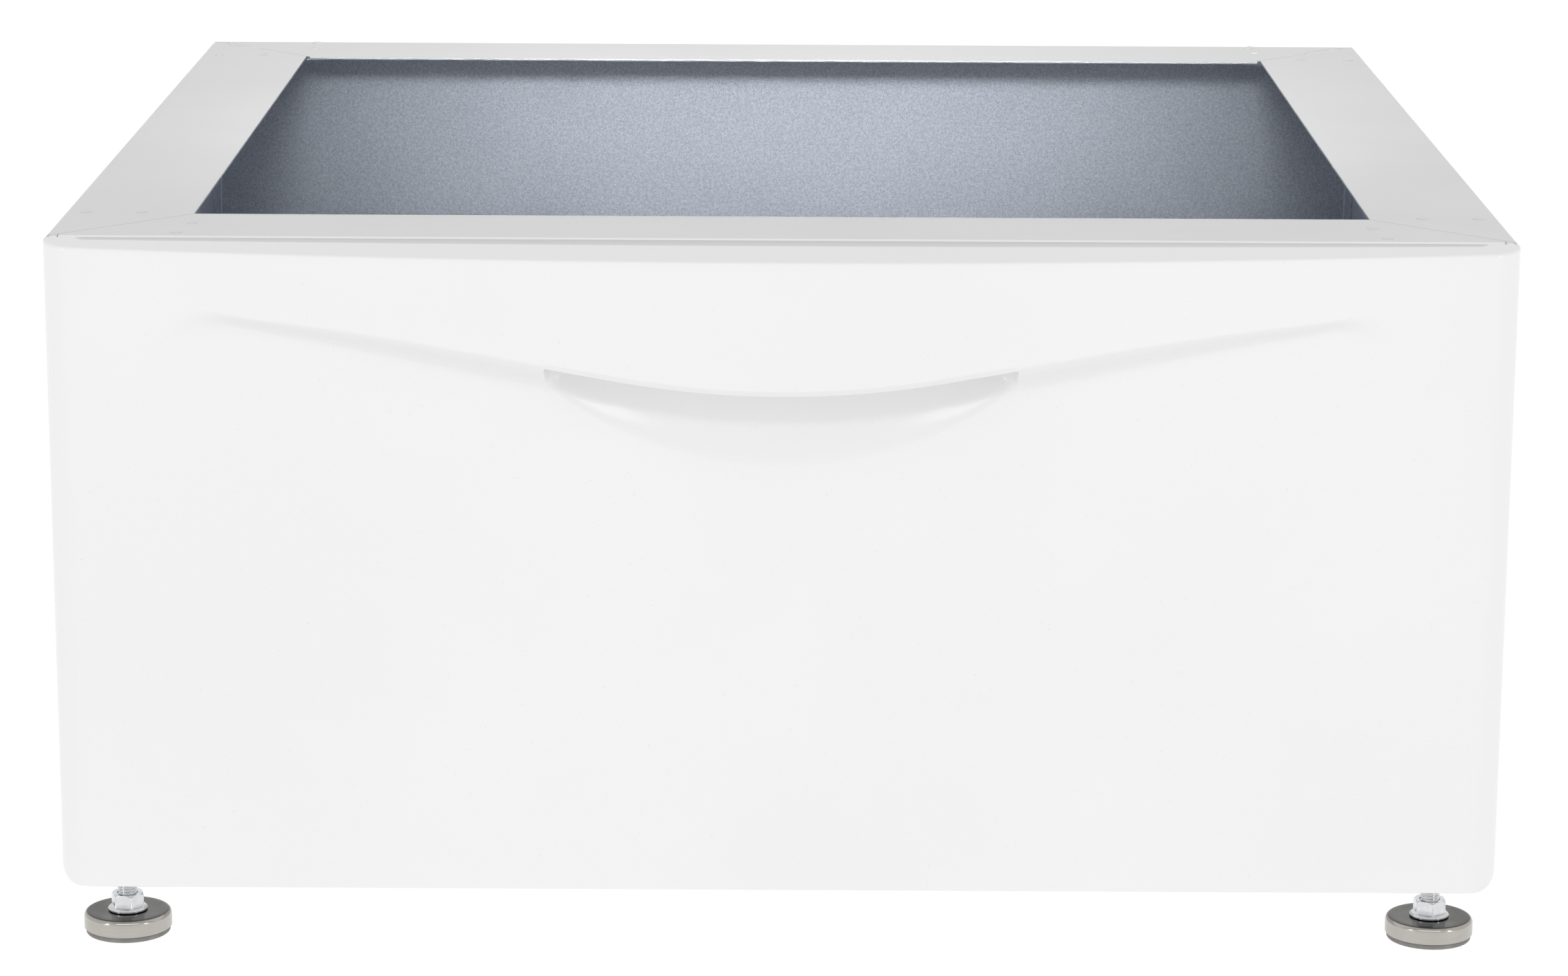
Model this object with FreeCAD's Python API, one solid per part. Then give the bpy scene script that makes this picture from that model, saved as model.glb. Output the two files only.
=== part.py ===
"""Laundry pedestal: a folded steel stand with a storage drawer that lifts a front-load washer or dryer.

Millimetres. +Z up, the floor is z = 0, the drawer opens towards -Y and +X is to the right.
The origin is the middle of the footprint, on the floor.
"""
import FreeCAD, Part
import math
import os

from FreeCAD import Vector

os.makedirs("parts", exist_ok=True)

# ---- overall sizes ----
width = 686.0
height = 350.0
cabinet_depth = 652.0
panel_depth = 38.0          # drawer front, rear edge to the middle of its crown
front_gap = 2.0             # drawer front to cabinet when closed
base_height = 42.0          # floor to the underside of the cabinet

# ---- sheet metal ----
sheet = 1.2
bend = 1.0                  # inside radius of an ordinary fold
lap_gap = 0.1               # between two sheets that lie on each other
side_flange = 62.2
rail_flange = 61.0
rear_flange = 66.0
base_flange = 60.0
rail_bend = 5.0             # inside radius of the front rail's rounded fold
rail_drop = 44.0
rail_return = 18.0
front_return = 11.0
relief = 6.0                # open notch where two folds meet at a front corner
mitre_gap = 0.15
notch = 2.5                 # relief at the opening's rear corners
rear_side_flange = 28.0
sill_height = 24.0
sill_shelf = 16.0

# ---- corner plates and rivets ----
gusset_sheet = 2.0
gusset_reach = 72.0
gusset_edge = 3.0
rivet_head_radius = 2.9
rivet_head_rise = 0.8
rivet_shank_radius = 1.6
rivet_tail_radius = 2.6
rivet_tail_length = 1.4
rivet_clearance = 0.05
side_rivet_insets = (10.0, 36.7)
side_rivet_back = 65.0      # from the cabinet's front or rear face
rail_rivet_places = ((60.0, 12.0), (64.0, 38.0))   # in from the side, back from the face
rear_rivet_places = ((63.0, 6.0), (63.0, 28.0))
weld_radius = 3.6
weld_rise = 0.7
weld_top_share = 0.55
weld_sides = 12
weld_puddles = 5
weld_start = 8.8           # first lump, in from the side
weld_spacing = 5.2
weld_taper = 0.3

# ---- drawer front ----
panel_bottom = 39.0
panel_top_drop = 3.5        # below the cabinet's top
panel_top_rise = 3.4      # the drawer front's top face rises this much from the crown to the rear
skin = 1.0
crown_rise = 22.0           # how far the middle stands in front of the sides
crown_corner = 18.0         # rounded vertical corner
lower_corner = 11.0         # rounded bottom corner, seen from the front
flat_setback = 20.0         # lower face behind the middle of the crown
# the brow's lower edge: distance from the middle, and drop below the cabinet's top
brow_drops = ((118.0, 49.5), (177.0, 40.0), (255.0, 31.5))
brow_end_drop = 29.0
brow_middle_drop = 63.0
lip_half = 106.0
lip_drop = 3.0
lip_sheet = 2.4
scoop_half = 109.0
scoop_drop = 98.0
scoop_depth = 14.0
pan_sheet = 1.0
pan_gap = 0.15

# ---- drawer box ----
box_sheet = 0.8
box_bottom = 72.0
box_height = 164.0
box_rear_room = 94.0        # hose space between the drawer and the back panel
box_hem = 8.0
box_ledge = 14.0
slide_thickness = 12.7
slide_rear_room = 98.0
slide_height = 45.0
slide_level = 150.0
slide_setback = 4.0
slide_sheet = 1.2
ball_radius = 1.95
ball_clearance = 0.1
ball_spacing = 30.0
balls_in_row = 8
race_gap = 4.1              # between two raceways
race_bend = 0.8
cage_sheet = 0.5
bumper_radius = 4.0
bumper_clearance = 0.3
screw_radius = 2.1
screw_head_radius = 4.2
screw_head_height = 1.9
slide_head_height = 0.6     # between the cabinet member and the ball cage
screw_clearance = 0.05
slide_screw_inset = 40.0
front_screw_columns = (-240.0, 0.0, 240.0)
front_screw_rise = 20.0     # lower row, above the drawer box's bottom edge
front_screw_drop = 44.0     # upper row, below the scoop

# ---- feet ----
foot_inset_side = 25.3
foot_inset_end = 32.0
disc_radius = 21.2
disc_rim = 2.2
cup_height = 8.3
cup_sheet = 1.5
pad_height = 2.7
pad_radius = 20.4
pad_plug_gap = 0.2
stud_radius = 4.7625
stud_top = 64.0
thread_clearance = 0.05
hex_across = 14.3
hex_height = 8.6
hex_flange_radius = 9.6
hex_flange_height = 2.2
hex_lift = 0.1
button_radius = 6.5
button_height = 3.2
button_floor = 1.4
button_clearance = 0.05
plug_height = 2.5
bracket_sheet = 3.0
bracket_size = 58.0
weld_nut_height = 8.0
weld_nut_across = 16.0
bracket_rivet_inset = 7.0

# ---- places worked out from the sizes above ----
half = width / 2
fold_room = sheet + bend + lap_gap      # what a fold of another sheet needs beside a corner
overall_depth = panel_depth + front_gap + cabinet_depth
crown_front = -overall_depth / 2
panel_rear = crown_front + panel_depth
face = panel_rear + front_gap
rear = overall_depth / 2
base = base_height
inner_half = half - sheet
opening_half = half - side_flange
opening_front = face + rail_flange
opening_rear = rear - rear_flange
lower_face = crown_front + flat_setback
panel_top = height - panel_top_drop
brow_middle = height - brow_middle_drop
brow_ends = height - brow_end_drop
brow_points = [(x, height - drop) for x, drop in brow_drops]
scoop_bottom = height - scoop_drop
button_level = pad_height + plug_height + button_floor
foot_x = half - foot_inset_side
foot_front = face + foot_inset_end
foot_rear = rear - foot_inset_end
box_half = inner_half - slide_thickness
box_front = panel_rear
box_rear = rear - box_rear_room
box_top = box_bottom + box_height
slide_front = face + slide_setback
slide_length = cabinet_depth - slide_setback - slide_rear_room
slide_bolt_spots = [slide_front + slide_screw_inset, slide_front + slide_length / 2,
                    slide_front + slide_length - slide_screw_inset]


def save(name, shape):
    """Write one named piece."""
    shape.exportStep(f"parts/{name}.step")


def box(x0, x1, y0, y1, z0, z1):
    """A block between two corners."""
    return Part.makeBox(x1 - x0, y1 - y0, z1 - z0, Vector(x0, y0, z0))


def cylinder(radius, length, x, y, z, direction=(0, 0, 1)):
    """A round bar that starts at a point."""
    return Part.makeCylinder(radius, length, Vector(x, y, z), Vector(*direction))


def join(shapes):
    """One solid from touching solids."""
    return shapes[0].fuse(shapes[1:]).removeSplitter()


def group(shapes):
    """Separate solids kept together as one piece."""
    return Part.makeCompound(shapes)


def mirrored(shape):
    """The same shape on the other side of the middle plane."""
    return shape.mirror(Vector(0, 0, 0), Vector(1, 0, 0))


def on_xz(u, v):
    return Vector(u, 0, v)


def on_yz(u, v):
    return Vector(0, u, v)


def on_xy(u, v):
    return Vector(u, v, 0)


def outline(points, radii, plane):
    """A closed face through 2D points, with a tangent arc of the given radius at each."""
    edges = []
    ends = []
    count = len(points)
    for i in range(count):
        here = Vector(*points[i], 0)
        to_last = (Vector(*points[i - 1], 0) - here).normalize()
        to_next = (Vector(*points[(i + 1) % count], 0) - here).normalize()
        if radii[i] <= 0:
            ends.append((here, here, None))
            continue
        half_angle = to_last.getAngle(to_next) / 2
        reach = radii[i] / math.tan(half_angle)
        middle = (to_last + to_next).normalize()
        bottom = radii[i] / math.sin(half_angle) - radii[i]
        ends.append((here + to_last * reach, here + to_next * reach, here + middle * bottom))
    for i in range(count):
        start, end, through = ends[i]
        if through is not None:
            edges.append(Part.Arc(plane(start.x, start.y), plane(through.x, through.y), plane(end.x, end.y)).toShape())
        nxt = ends[(i + 1) % count][0]
        if end.distanceToPoint(nxt) > 1e-6:
            edges.append(Part.LineSegment(plane(end.x, end.y), plane(nxt.x, nxt.y)).toShape())
    return Part.Face(Part.Wire(edges))


def folded(path, thickness, inside_radius, plane, side=1):
    """The section of a folded sheet: a path along one skin, thickened to its left or right."""
    def offset(i):
        before = Vector(*path[max(i - 1, 0)], 0)
        here = Vector(*path[i], 0)
        after = Vector(*path[min(i + 1, len(path) - 1)], 0)
        normals = []
        for a, b in ((before, here), (here, after)):
            run = b - a
            if run.Length > 0:
                run.normalize()
                normals.append(Vector(-run.y, run.x, 0) * side)
        if len(normals) == 1:
            return here + normals[0] * thickness
        total = normals[0] + normals[1]
        return here + total * (thickness / (1 + normals[0].dot(normals[1])))

    inner = [offset(i) for i in range(len(path))]
    near = []
    far = []
    for i in range(len(path)):
        if i in (0, len(path) - 1):
            near.append(0)
            far.append(0)
            continue
        a = Vector(*path[i], 0) - Vector(*path[i - 1], 0)
        b = Vector(*path[i + 1], 0) - Vector(*path[i], 0)
        towards = a.cross(b).z * side > 0
        near.append(inside_radius + thickness if towards else inside_radius)
        far.append(inside_radius if towards else inside_radius + thickness)
    points = list(path) + [(p.x, p.y) for p in reversed(inner)]
    return outline(points, near + far[::-1], plane)


def wedge(points, z0, z1):
    """A flat plate from plan points."""
    flat = outline(points, [0] * len(points), on_xy)
    flat.translate(Vector(0, 0, z0))
    return flat.extrude(Vector(0, 0, z1 - z0))


def corner_rivets(x_sign, front_corner):
    """Rivet centres round one corner of the top frame."""
    if front_corner:
        start, way, places = face, 1, rail_rivet_places
    else:
        start, way, places = rear, -1, rear_rivet_places
    reach = side_rivet_back if front_corner else side_rivet_back - 10.0
    spots = [(x_sign * (half - inset), start + way * reach) for inset in side_rivet_insets]
    spots += [(x_sign * (half - inset), start + way * back) for inset, back in places]
    return spots


all_corners = [(x_sign, front) for x_sign in (-1, 1) for front in (True, False)]
rivet_spots = [spot for corner in all_corners for spot in corner_rivets(*corner)]
foot_spots = {
    "front_left": (-foot_x, foot_front),
    "front_right": (foot_x, foot_front),
    "rear_left": (-foot_x, foot_rear),
    "rear_right": (foot_x, foot_rear),
}
bracket_rivet_spots = [
    (math.copysign(abs(x) + sx * (bracket_size / 2 - bracket_rivet_inset) - 3.0, x),
     y + sy * (bracket_size / 2 - bracket_rivet_inset))
    for x, y in foot_spots.values() for sx in (-1, 1) for sy in (-1, 1)
]


def rivet_holes(z0, z1):
    radius = rivet_shank_radius + rivet_clearance
    return group([cylinder(radius, z1 - z0, x, y, z0) for x, y in rivet_spots])


def side_panel():
    """Left side: web with top and base flanges, and a narrow return at the front."""
    top_edge = half - side_flange
    base_edge = half - base_flange
    section = folded(
        [(-top_edge, height), (-half, height), (-half, base), (-base_edge, base)],
        sheet, bend, on_xz)
    section.translate(Vector(0, face, 0))
    body = section.extrude(Vector(0, cabinet_depth, 0))
    # the top flange is mitred to the rail in front and to the back panel behind
    cuts = [
        wedge([(-half + relief, face - 1), (-half + relief, face + relief),
               (-opening_half, opening_front), (-opening_half + 40, opening_front),
               (-opening_half + 40, face - 1)], height - 5, height + 1),
        wedge([(-half - 1, rear + 1), (-half + sheet, rear - sheet),
               (-opening_half, opening_rear + relief),
               (-opening_half + 40, opening_rear + relief), (-opening_half + 40, rear + 1)],
              height - sheet - 0.01, height + 1),
        box(-inner_half - lap_gap, 0, face - 1, face + fold_room, base - 1, base + fold_room),
        box(-inner_half + lap_gap, -half + relief, face - 1, face + relief, height - 5, height + 1),
        box(-inner_half, 0, rear - fold_room, rear + 1, base - 1, base + fold_room),
    ]
    for cut in cuts:
        body = body.cut(cut)
    fold = folded(
        [(-half, face + 40), (-half, face), (-half + front_return, face)],
        sheet, bend + sheet, on_xy)
    fold.translate(Vector(0, 0, base + relief))
    front_fold = fold.extrude(Vector(0, 0, height - base - 2 * relief))
    square = box(-half - 1, -inner_half - 0.001 + 4, face - 1, face + 10, base + relief, height - relief)
    body = body.cut(square).fuse(front_fold).removeSplitter()
    # the return is open where the drawer slide passes
    body = body.cut(box(-inner_half + 0.4, 0, face - 1, face + relief,
                        slide_level - slide_height / 2 - 4, slide_level + slide_height / 2 + 4))
    for y in slide_bolt_spots:
        body = body.cut(cylinder(screw_radius + screw_clearance, 6, -half - 1, y, slide_level, (1, 0, 0)))
    body = body.cut(rivet_holes(height - 6, height + 2))
    for x, y in bracket_rivet_spots:
        body = body.cut(cylinder(rivet_shank_radius + rivet_clearance, 6, x, y, base - 1))
    for x, y in foot_spots.values():
        body = body.cut(cylinder(stud_radius + 2.0, 6, x, y, base - 1))
    return body


def back_panel():
    """Rear web with a top flange, a base flange and two side flanges that lie on the side panels."""
    top = height
    web_half = inner_half - lap_gap
    section = folded(
        [(opening_rear, top), (rear, top), (rear, base), (rear - base_flange, base)],
        sheet, bend, on_yz, side=-1)
    section.translate(Vector(-web_half, 0, 0))
    body = section.extrude(Vector(2 * web_half, 0, 0))
    for sign in (-1, 1):
        body = body.cut(wedge([
            (sign * (half + 1), rear - sheet + mitre_gap), (sign * (half - sheet), rear - sheet + mitre_gap),
            (sign * opening_half, opening_rear + relief + mitre_gap),
            (sign * (opening_half - notch), opening_rear + relief + mitre_gap),
            (sign * (opening_half - notch), opening_rear - 1),
            (sign * (half + 1), opening_rear - 1)], top - sheet - bend, top + 1))
        body = body.cut(box(*sorted((sign * (half - fold_room), sign * (half + 1))),
                            opening_rear, rear + 1, top - fold_room, top + 1))
        body = body.cut(box(*sorted((sign * (half - base_flange - lap_gap), sign * (half + 1))),
                            rear - base_flange - 1, rear - sheet - bend, base - 1, base + sheet + bend))
    flange = folded(
        [(-web_half, rear - rear_side_flange), (-web_half, rear), (-web_half + 40, rear)],
        sheet, bend, on_xy, side=-1)
    flange.translate(Vector(0, 0, base + relief))
    left = flange.extrude(Vector(0, 0, height - base - 2 * relief))
    ends = [box(*sorted((sign * (web_half - bend - sheet), sign * half)), rear - 10, rear + 1,
                base + relief, height - relief) for sign in (-1, 1)]
    body = body.cut(ends[0]).cut(ends[1])
    body = body.fuse([left, mirrored(left)]).removeSplitter()
    for sign in (-1, 1):
        body = body.cut(cylinder(2.5, 20, sign * (half - 10), rear - 17, height - 97, (sign, 0, 0)))
    body = body.cut(rivet_holes(height - 6, height + 2))
    return body


def top_front_rail():
    """Front rail of the top frame: flange, rounded fold, short face and a return."""
    end = half - relief
    section = folded(
        [(opening_front, height), (face, height), (face, height - rail_drop),
         (face + rail_return, height - rail_drop)],
        sheet, rail_bend, on_yz)
    section.translate(Vector(-end, 0, 0))
    body = section.extrude(Vector(2 * end, 0, 0))
    for sign in (-1, 1):
        body = body.cut(wedge([
            (sign * (half - relief), face + relief - mitre_gap),
            (sign * opening_half, opening_front - mitre_gap),
            (sign * opening_half, opening_front + 1),
            (sign * half, opening_front + 1), (sign * half, face + relief - mitre_gap)],
            height - 3, height + 1))
        # behind the side panels' front returns
        body = body.cut(box(*sorted((sign * (half - front_return - lap_gap), sign * half)),
                            face - 1, face + rail_return + 1, height - rail_drop - 1, height - relief))
    return body.cut(rivet_holes(height - 6, height + 2))


def bottom_front_rail():
    """Front rail of the base: a low sill with a shelf on top and a wide base flange."""
    end = half - front_return - lap_gap
    top = base + sill_height
    section = folded(
        [(face + sill_shelf, top), (face, top), (face, base), (face + base_flange, base)],
        sheet, bend, on_yz)
    section.translate(Vector(-end, 0, 0))
    body = section.extrude(Vector(2 * end, 0, 0))
    for sign in (-1, 1):
        body = body.cut(box(*sorted((sign * (half - base_flange - lap_gap), sign * half)),
                            face + sheet + bend, face + base_flange + 1, base - 1, base + sheet + bend))
    return body


def top_gusset(x_sign, front_corner):
    """L-shaped plate under one corner of the top frame."""
    z1 = height - sheet
    outer = inner_half - gusset_edge
    inner = opening_half + gusset_edge
    tip = half - gusset_reach
    if front_corner:
        near, far, step = face + rail_bend + sheet + 1.0, face + gusset_reach, opening_front - gusset_edge
    else:
        near, far, step = rear - sheet - bend - 1.0, rear - gusset_reach, opening_rear + gusset_edge + relief
    points = [(x_sign * outer, near), (x_sign * tip, near), (x_sign * tip, step),
              (x_sign * inner, step), (x_sign * inner, far), (x_sign * outer, far)]
    if not front_corner:
        side_edge = inner_half - lap_gap - sheet - bend
        points[0] = (x_sign * side_edge, near)
        points[5] = (x_sign * side_edge, far)
    plate = wedge(points, z1 - gusset_sheet, z1)
    return plate.cut(rivet_holes(z1 - gusset_sheet - 1, z1 + 1))


def dome(radius, rise, x, y, z, below=False):
    """A shallow round cap that stands on a level surface."""
    sphere = (radius * radius + rise * rise) / (2 * rise)
    if below:
        ball = Part.makeSphere(sphere, Vector(x, y, z - rise + sphere))
        return ball.common(box(x - radius - 1, x + radius + 1, y - radius - 1, y + radius + 1, z - rise - 1, z))
    ball = Part.makeSphere(sphere, Vector(x, y, z + rise - sphere))
    return ball.common(box(x - radius - 1, x + radius + 1, y - radius - 1, y + radius + 1, z, z + rise + 1))


def rivet(x, y, top, grip):
    """A pop rivet: a low domed head, a shank and a swollen tail."""
    return join([
        dome(rivet_head_radius, rivet_head_rise, x, y, top),
        cylinder(rivet_shank_radius, grip, x, y, top - grip),
        cylinder(rivet_tail_radius, rivet_tail_length, x, y, top - grip - rivet_tail_length),
    ])


def weld_puddle(radius, rise, x, y, z):
    """One low lump of weld metal: a many-sided pad with sloping edges and a flat top."""
    sides = [2 * math.pi * i / weld_sides for i in range(weld_sides + 1)]

    def ring(r, level):
        return Part.makePolygon([Vector(x + r * math.cos(a), y + r * math.sin(a), level) for a in sides])

    return Part.makeLoft([ring(radius, z), ring(radius * weld_top_share, z + rise)], True, True)


def corner_welds():
    """Short runs of weld on the outer part of each rear mitre."""
    slope = (rear_flange - relief - sheet) / (side_flange - sheet)
    puddles = []
    for sign in (-1, 1):
        for i in range(weld_puddles):
            inward = weld_start + i * weld_spacing
            puddles.append(weld_puddle(weld_radius - weld_taper * i, weld_rise, sign * (half - inward),
                                       rear - sheet - (inward - sheet) * slope, height))
    return group(puddles)


def foot_bracket(x, y):
    """Thick plate on the base flanges that carries one foot."""
    reach = bracket_size / 2
    outer = math.copysign(half - fold_room - (lap_gap + sheet if y > 0 else 0), x)
    x0, x1 = sorted((outer, math.copysign(abs(outer) - bracket_size, x)))
    z0 = base + sheet
    y0 = max(y - reach, face + fold_room)
    plate = box(x0, x1, y0, min(y + reach, rear - fold_room), z0, z0 + bracket_sheet)
    plate = plate.cut(cylinder(stud_radius + thread_clearance, bracket_sheet + 2, x, y, z0 - 1))
    for rx, ry in bracket_rivet_spots:
        plate = plate.cut(cylinder(rivet_shank_radius + rivet_clearance, bracket_sheet + 2, rx, ry, z0 - 1))
    return plate


def hexagon(across, length, x, y, z):
    """A six-sided bar, with flats facing along Y."""
    corner = across / math.sqrt(3)
    points = [(x + corner * math.cos(math.radians(60 * i)), y + corner * math.sin(math.radians(60 * i)))
              for i in range(6)]
    return wedge(points, z, z + length)


def chamfered_hexagon(across, length, x, y, z):
    """A nut's six-sided body with its upper corners turned off."""
    corner = across / math.sqrt(3)
    drop = (corner - across / 2) * 0.6
    nut = hexagon(across, length, x, y, z)
    tapered = Part.makeCone(corner + 0.02, across / 2 - 0.1, drop, Vector(x, y, z + length - drop))
    column = cylinder(corner + 0.02, length - drop, x, y, z)
    return nut.common(column.fuse(tapered))


def foot_pad(x, y):
    """Rubber sole with a plug that fills the cup."""
    sole = Part.makeCone(pad_radius - 1.0, pad_radius, pad_height, Vector(x, y, 0))
    plug = cylinder(disc_radius - cup_sheet - pad_plug_gap, plug_height, x, y, pad_height)
    return join([sole, plug])


def foot_cup(x, y):
    """Pressed steel cup on the rubber sole, with a socket in which the stud's button turns."""
    outer = cylinder(disc_radius, cup_height, x, y, pad_height)
    rim = [e for e in outer.Edges if e.BoundBox.ZMin > pad_height + 1 and e.BoundBox.XLength > 1]
    outer = outer.makeFillet(disc_rim, rim)
    hollow = cylinder(disc_radius - cup_sheet, plug_height + lap_gap, x, y, pad_height)
    socket = cylinder(button_radius + button_clearance, button_height + 2 * button_clearance,
                      x, y, button_level - button_clearance)
    neck = cylinder(stud_radius + button_clearance, cup_height, x, y, button_level)
    return outer.cut(hollow).cut(socket).cut(neck)


def foot_stud(x, y):
    """Stud with a pointed top and a flat button that turns in the cup."""
    tip = 2.2
    rod = cylinder(stud_radius, stud_top - tip - button_level, x, y, button_level)
    point = Part.makeCone(stud_radius, stud_radius - 1.2, tip, Vector(x, y, stud_top - tip))
    button = cylinder(button_radius, button_height, x, y, button_level)
    return join([rod, point, button])


def foot_hex(x, y):
    """Flanged hexagon for the spanner, fast on the stud just above the cup."""
    z = pad_height + cup_height + hex_lift
    flange = Part.makeCone(hex_flange_radius, hex_flange_radius - 1.6, hex_flange_height, Vector(x, y, z))
    body = chamfered_hexagon(hex_across, hex_height, x, y, z)
    return join([flange, body]).cut(cylinder(stud_radius, hex_height + 2, x, y, z - 1))


def weld_nut(x, y):
    """Nut welded on the bracket, in which the stud turns."""
    z0 = base + sheet + bracket_sheet
    nut = chamfered_hexagon(weld_nut_across, weld_nut_height, x, y, z0)
    return nut.cut(cylinder(stud_radius + thread_clearance, weld_nut_height + 2, x, y, z0 - 1))


# ---- drawer front ----
def brow_cutter(raise_by, face_at):
    """Everything in front of the flat lower face and under the brow's curved edge."""
    far = half + 10
    right = [(x, z) for x, z in brow_points] + [(far, brow_ends)]
    line = [(-x, z) for x, z in reversed(right)] + [(0, brow_middle)] + right
    curve = Part.BSplineCurve()
    curve.interpolate([Vector(x, 0, z + raise_by) for x, z in line])
    top = curve.toShape()
    a, b = Vector(-far, 0, brow_ends + raise_by), Vector(far, 0, brow_ends + raise_by)
    c, d = Vector(far, 0, 0), Vector(-far, 0, 0)
    wire = Part.Wire([top, Part.LineSegment(b, c).toShape(), Part.LineSegment(c, d).toShape(),
                      Part.LineSegment(d, a).toShape()])
    cutter = Part.Face(wire)
    cutter.translate(Vector(0, crown_front - 10, 0))
    return cutter.extrude(Vector(0, face_at - crown_front + 10, 0))


def crowned_block(inset, z0, z1, back):
    """The bowed block that the drawer front is pressed to, drawn in by an inset."""
    reach = half - inset
    radius = (half * half + crown_rise * crown_rise) / (2 * crown_rise) - inset
    centre = crown_front + inset + radius
    side = centre - math.sqrt(radius * radius - reach * reach)
    arc = Part.Arc(Vector(-reach, side, 0), Vector(0, crown_front + inset, 0), Vector(reach, side, 0)).toShape()
    deep = back + crown_corner      # room for the rounded corners, trimmed off again below
    lines = [
        Part.LineSegment(Vector(reach, side, 0), Vector(reach, deep, 0)).toShape(),
        Part.LineSegment(Vector(reach, deep, 0), Vector(-reach, deep, 0)).toShape(),
        Part.LineSegment(Vector(-reach, deep, 0), Vector(-reach, side, 0)).toShape(),
    ]
    plan = Part.Face(Part.Wire([arc] + lines))
    plan.translate(Vector(0, 0, z0))
    block = plan.extrude(Vector(0, 0, z1 - z0))
    uprights = [e for e in block.Edges
                if e.BoundBox.ZLength > (z1 - z0) * 0.9 and abs(e.BoundBox.YMin - side) < 0.01]
    block = block.makeFillet(crown_corner - inset, uprights)
    return block.cut(box(-half, half, back, deep + 1, z0 - 1, z1 + 1))


def front_block(inset):
    """The whole drawer front as a solid: crowned brow, flat lower face and rounded lower corners."""
    back = panel_rear + (1 if inset else 0)
    z0 = panel_bottom + inset
    z1 = panel_top + panel_top_rise - inset
    block = crowned_block(inset, z0, z1, back)
    block = block.cut(brow_cutter(inset, lower_face + inset))
    reach = half - inset
    frame = outline([(-reach - 5, z1 + 5), (-reach - 5, z1), (-reach, z1), (-reach, z0), (reach, z0),
                     (reach, z1), (reach + 5, z1), (reach + 5, z1 + 5)],
                    [0, 0, 0, lower_corner - inset, lower_corner - inset, 0, 0, 0], on_xz)
    frame.translate(Vector(0, crown_front - 20, 0))
    return block.common(frame.extrude(Vector(0, panel_depth + 40, 0))).cut(over_top_face(inset))


def over_top_face(inset):
    """Everything above the drawer front's sloping top face, lowered by an inset."""
    z0, z1 = panel_top - inset, panel_top + panel_top_rise - inset
    side = outline([(crown_front, z0), (panel_rear, z1), (panel_rear, z1 + 20), (crown_front - 5, z1 + 20),
                    (crown_front - 5, z0)], [0, 0, 0, 0, 0], on_yz)
    side.translate(Vector(-half - 10, 0, 0))
    return side.extrude(Vector(2 * half + 20, 0, 0))


def scoop_form(grow):
    """Hollow for the fingers under the brow: half of a flattened egg."""
    middle = (brow_middle + brow_points[0][1]) / 2
    matrix = FreeCAD.Matrix()
    matrix.scale(scoop_half + grow, scoop_depth + grow, middle - scoop_bottom + grow)
    egg = Part.makeSphere(1.0)
    egg = egg.transformGeometry(matrix)
    egg.translate(Vector(0, lower_face, middle))
    back_half = box(-half, half, lower_face, lower_face + 60, 0, height)
    return egg.common(back_half).common(brow_cutter(grow, lower_face + 60))


def drawer_front_panel():
    """Pressed steel skin of the drawer front, with the brow, its lip and the finger scoop."""
    shell = front_block(0).cut(front_block(skin))
    shell = shell.fuse(scoop_form(skin)).cut(scoop_form(0))
    mouth = scoop_form(0)
    mouth.translate(Vector(0, -skin - 0.5, 0))
    shell = shell.cut(mouth.common(box(-half, half, lower_face - 1, lower_face + 5, 0, height)))
    lip = crowned_block(0, scoop_bottom, panel_top, panel_rear)
    lip = lip.cut(crowned_block(lip_sheet, scoop_bottom - 5, panel_top + 5, panel_rear + 5))
    lip = lip.common(brow_cutter(0.01, lower_face)).cut(brow_cutter(-lip_drop, lower_face))
    lip = lip.common(box(-lip_half, lip_half, crown_front - 1, lower_face, 0, height))
    return shell.fuse(lip).removeSplitter()


def drawer_front_pan():
    """Flat inner sheet that closes the back of the drawer front."""
    reach = half - skin - pan_gap
    z0 = panel_bottom + skin + pan_gap
    z1 = panel_top - skin - pan_gap
    round_in = lower_corner - skin
    flat = outline([(-reach, z1), (-reach, z0), (reach, z0), (reach, z1)], [1, round_in, round_in, 1], on_xz)
    flat.translate(Vector(0, panel_rear - pan_sheet, 0))
    pan = flat.extrude(Vector(0, pan_sheet, 0))
    for x, z in front_screw_spots:
        pan = pan.cut(cylinder(screw_radius + screw_clearance, 10, x, panel_rear - 5, z, (0, 1, 0)))
    return pan


front_screw_spots = [(x, z) for x in front_screw_columns
                     for z in (box_bottom + front_screw_rise, scoop_bottom - front_screw_drop)]


def drawer_side_wall():
    """Left wall of the drawer, hemmed at the top, with a ledge for the floor."""
    section = folded(
        [(-box_half + box_hem, box_top), (-box_half, box_top), (-box_half, box_bottom),
         (-box_half + box_ledge, box_bottom)],
        box_sheet, bend, on_xz)
    section.translate(Vector(0, box_front + box_sheet + lap_gap, 0))
    wall = section.extrude(Vector(0, box_rear - box_front - 2 * (box_sheet + lap_gap), 0))
    for y in slide_bolt_spots:
        wall = wall.cut(cylinder(screw_radius + screw_clearance, 6, -box_half - 2, y, slide_level, (1, 0, 0)))
    return wall


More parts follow.
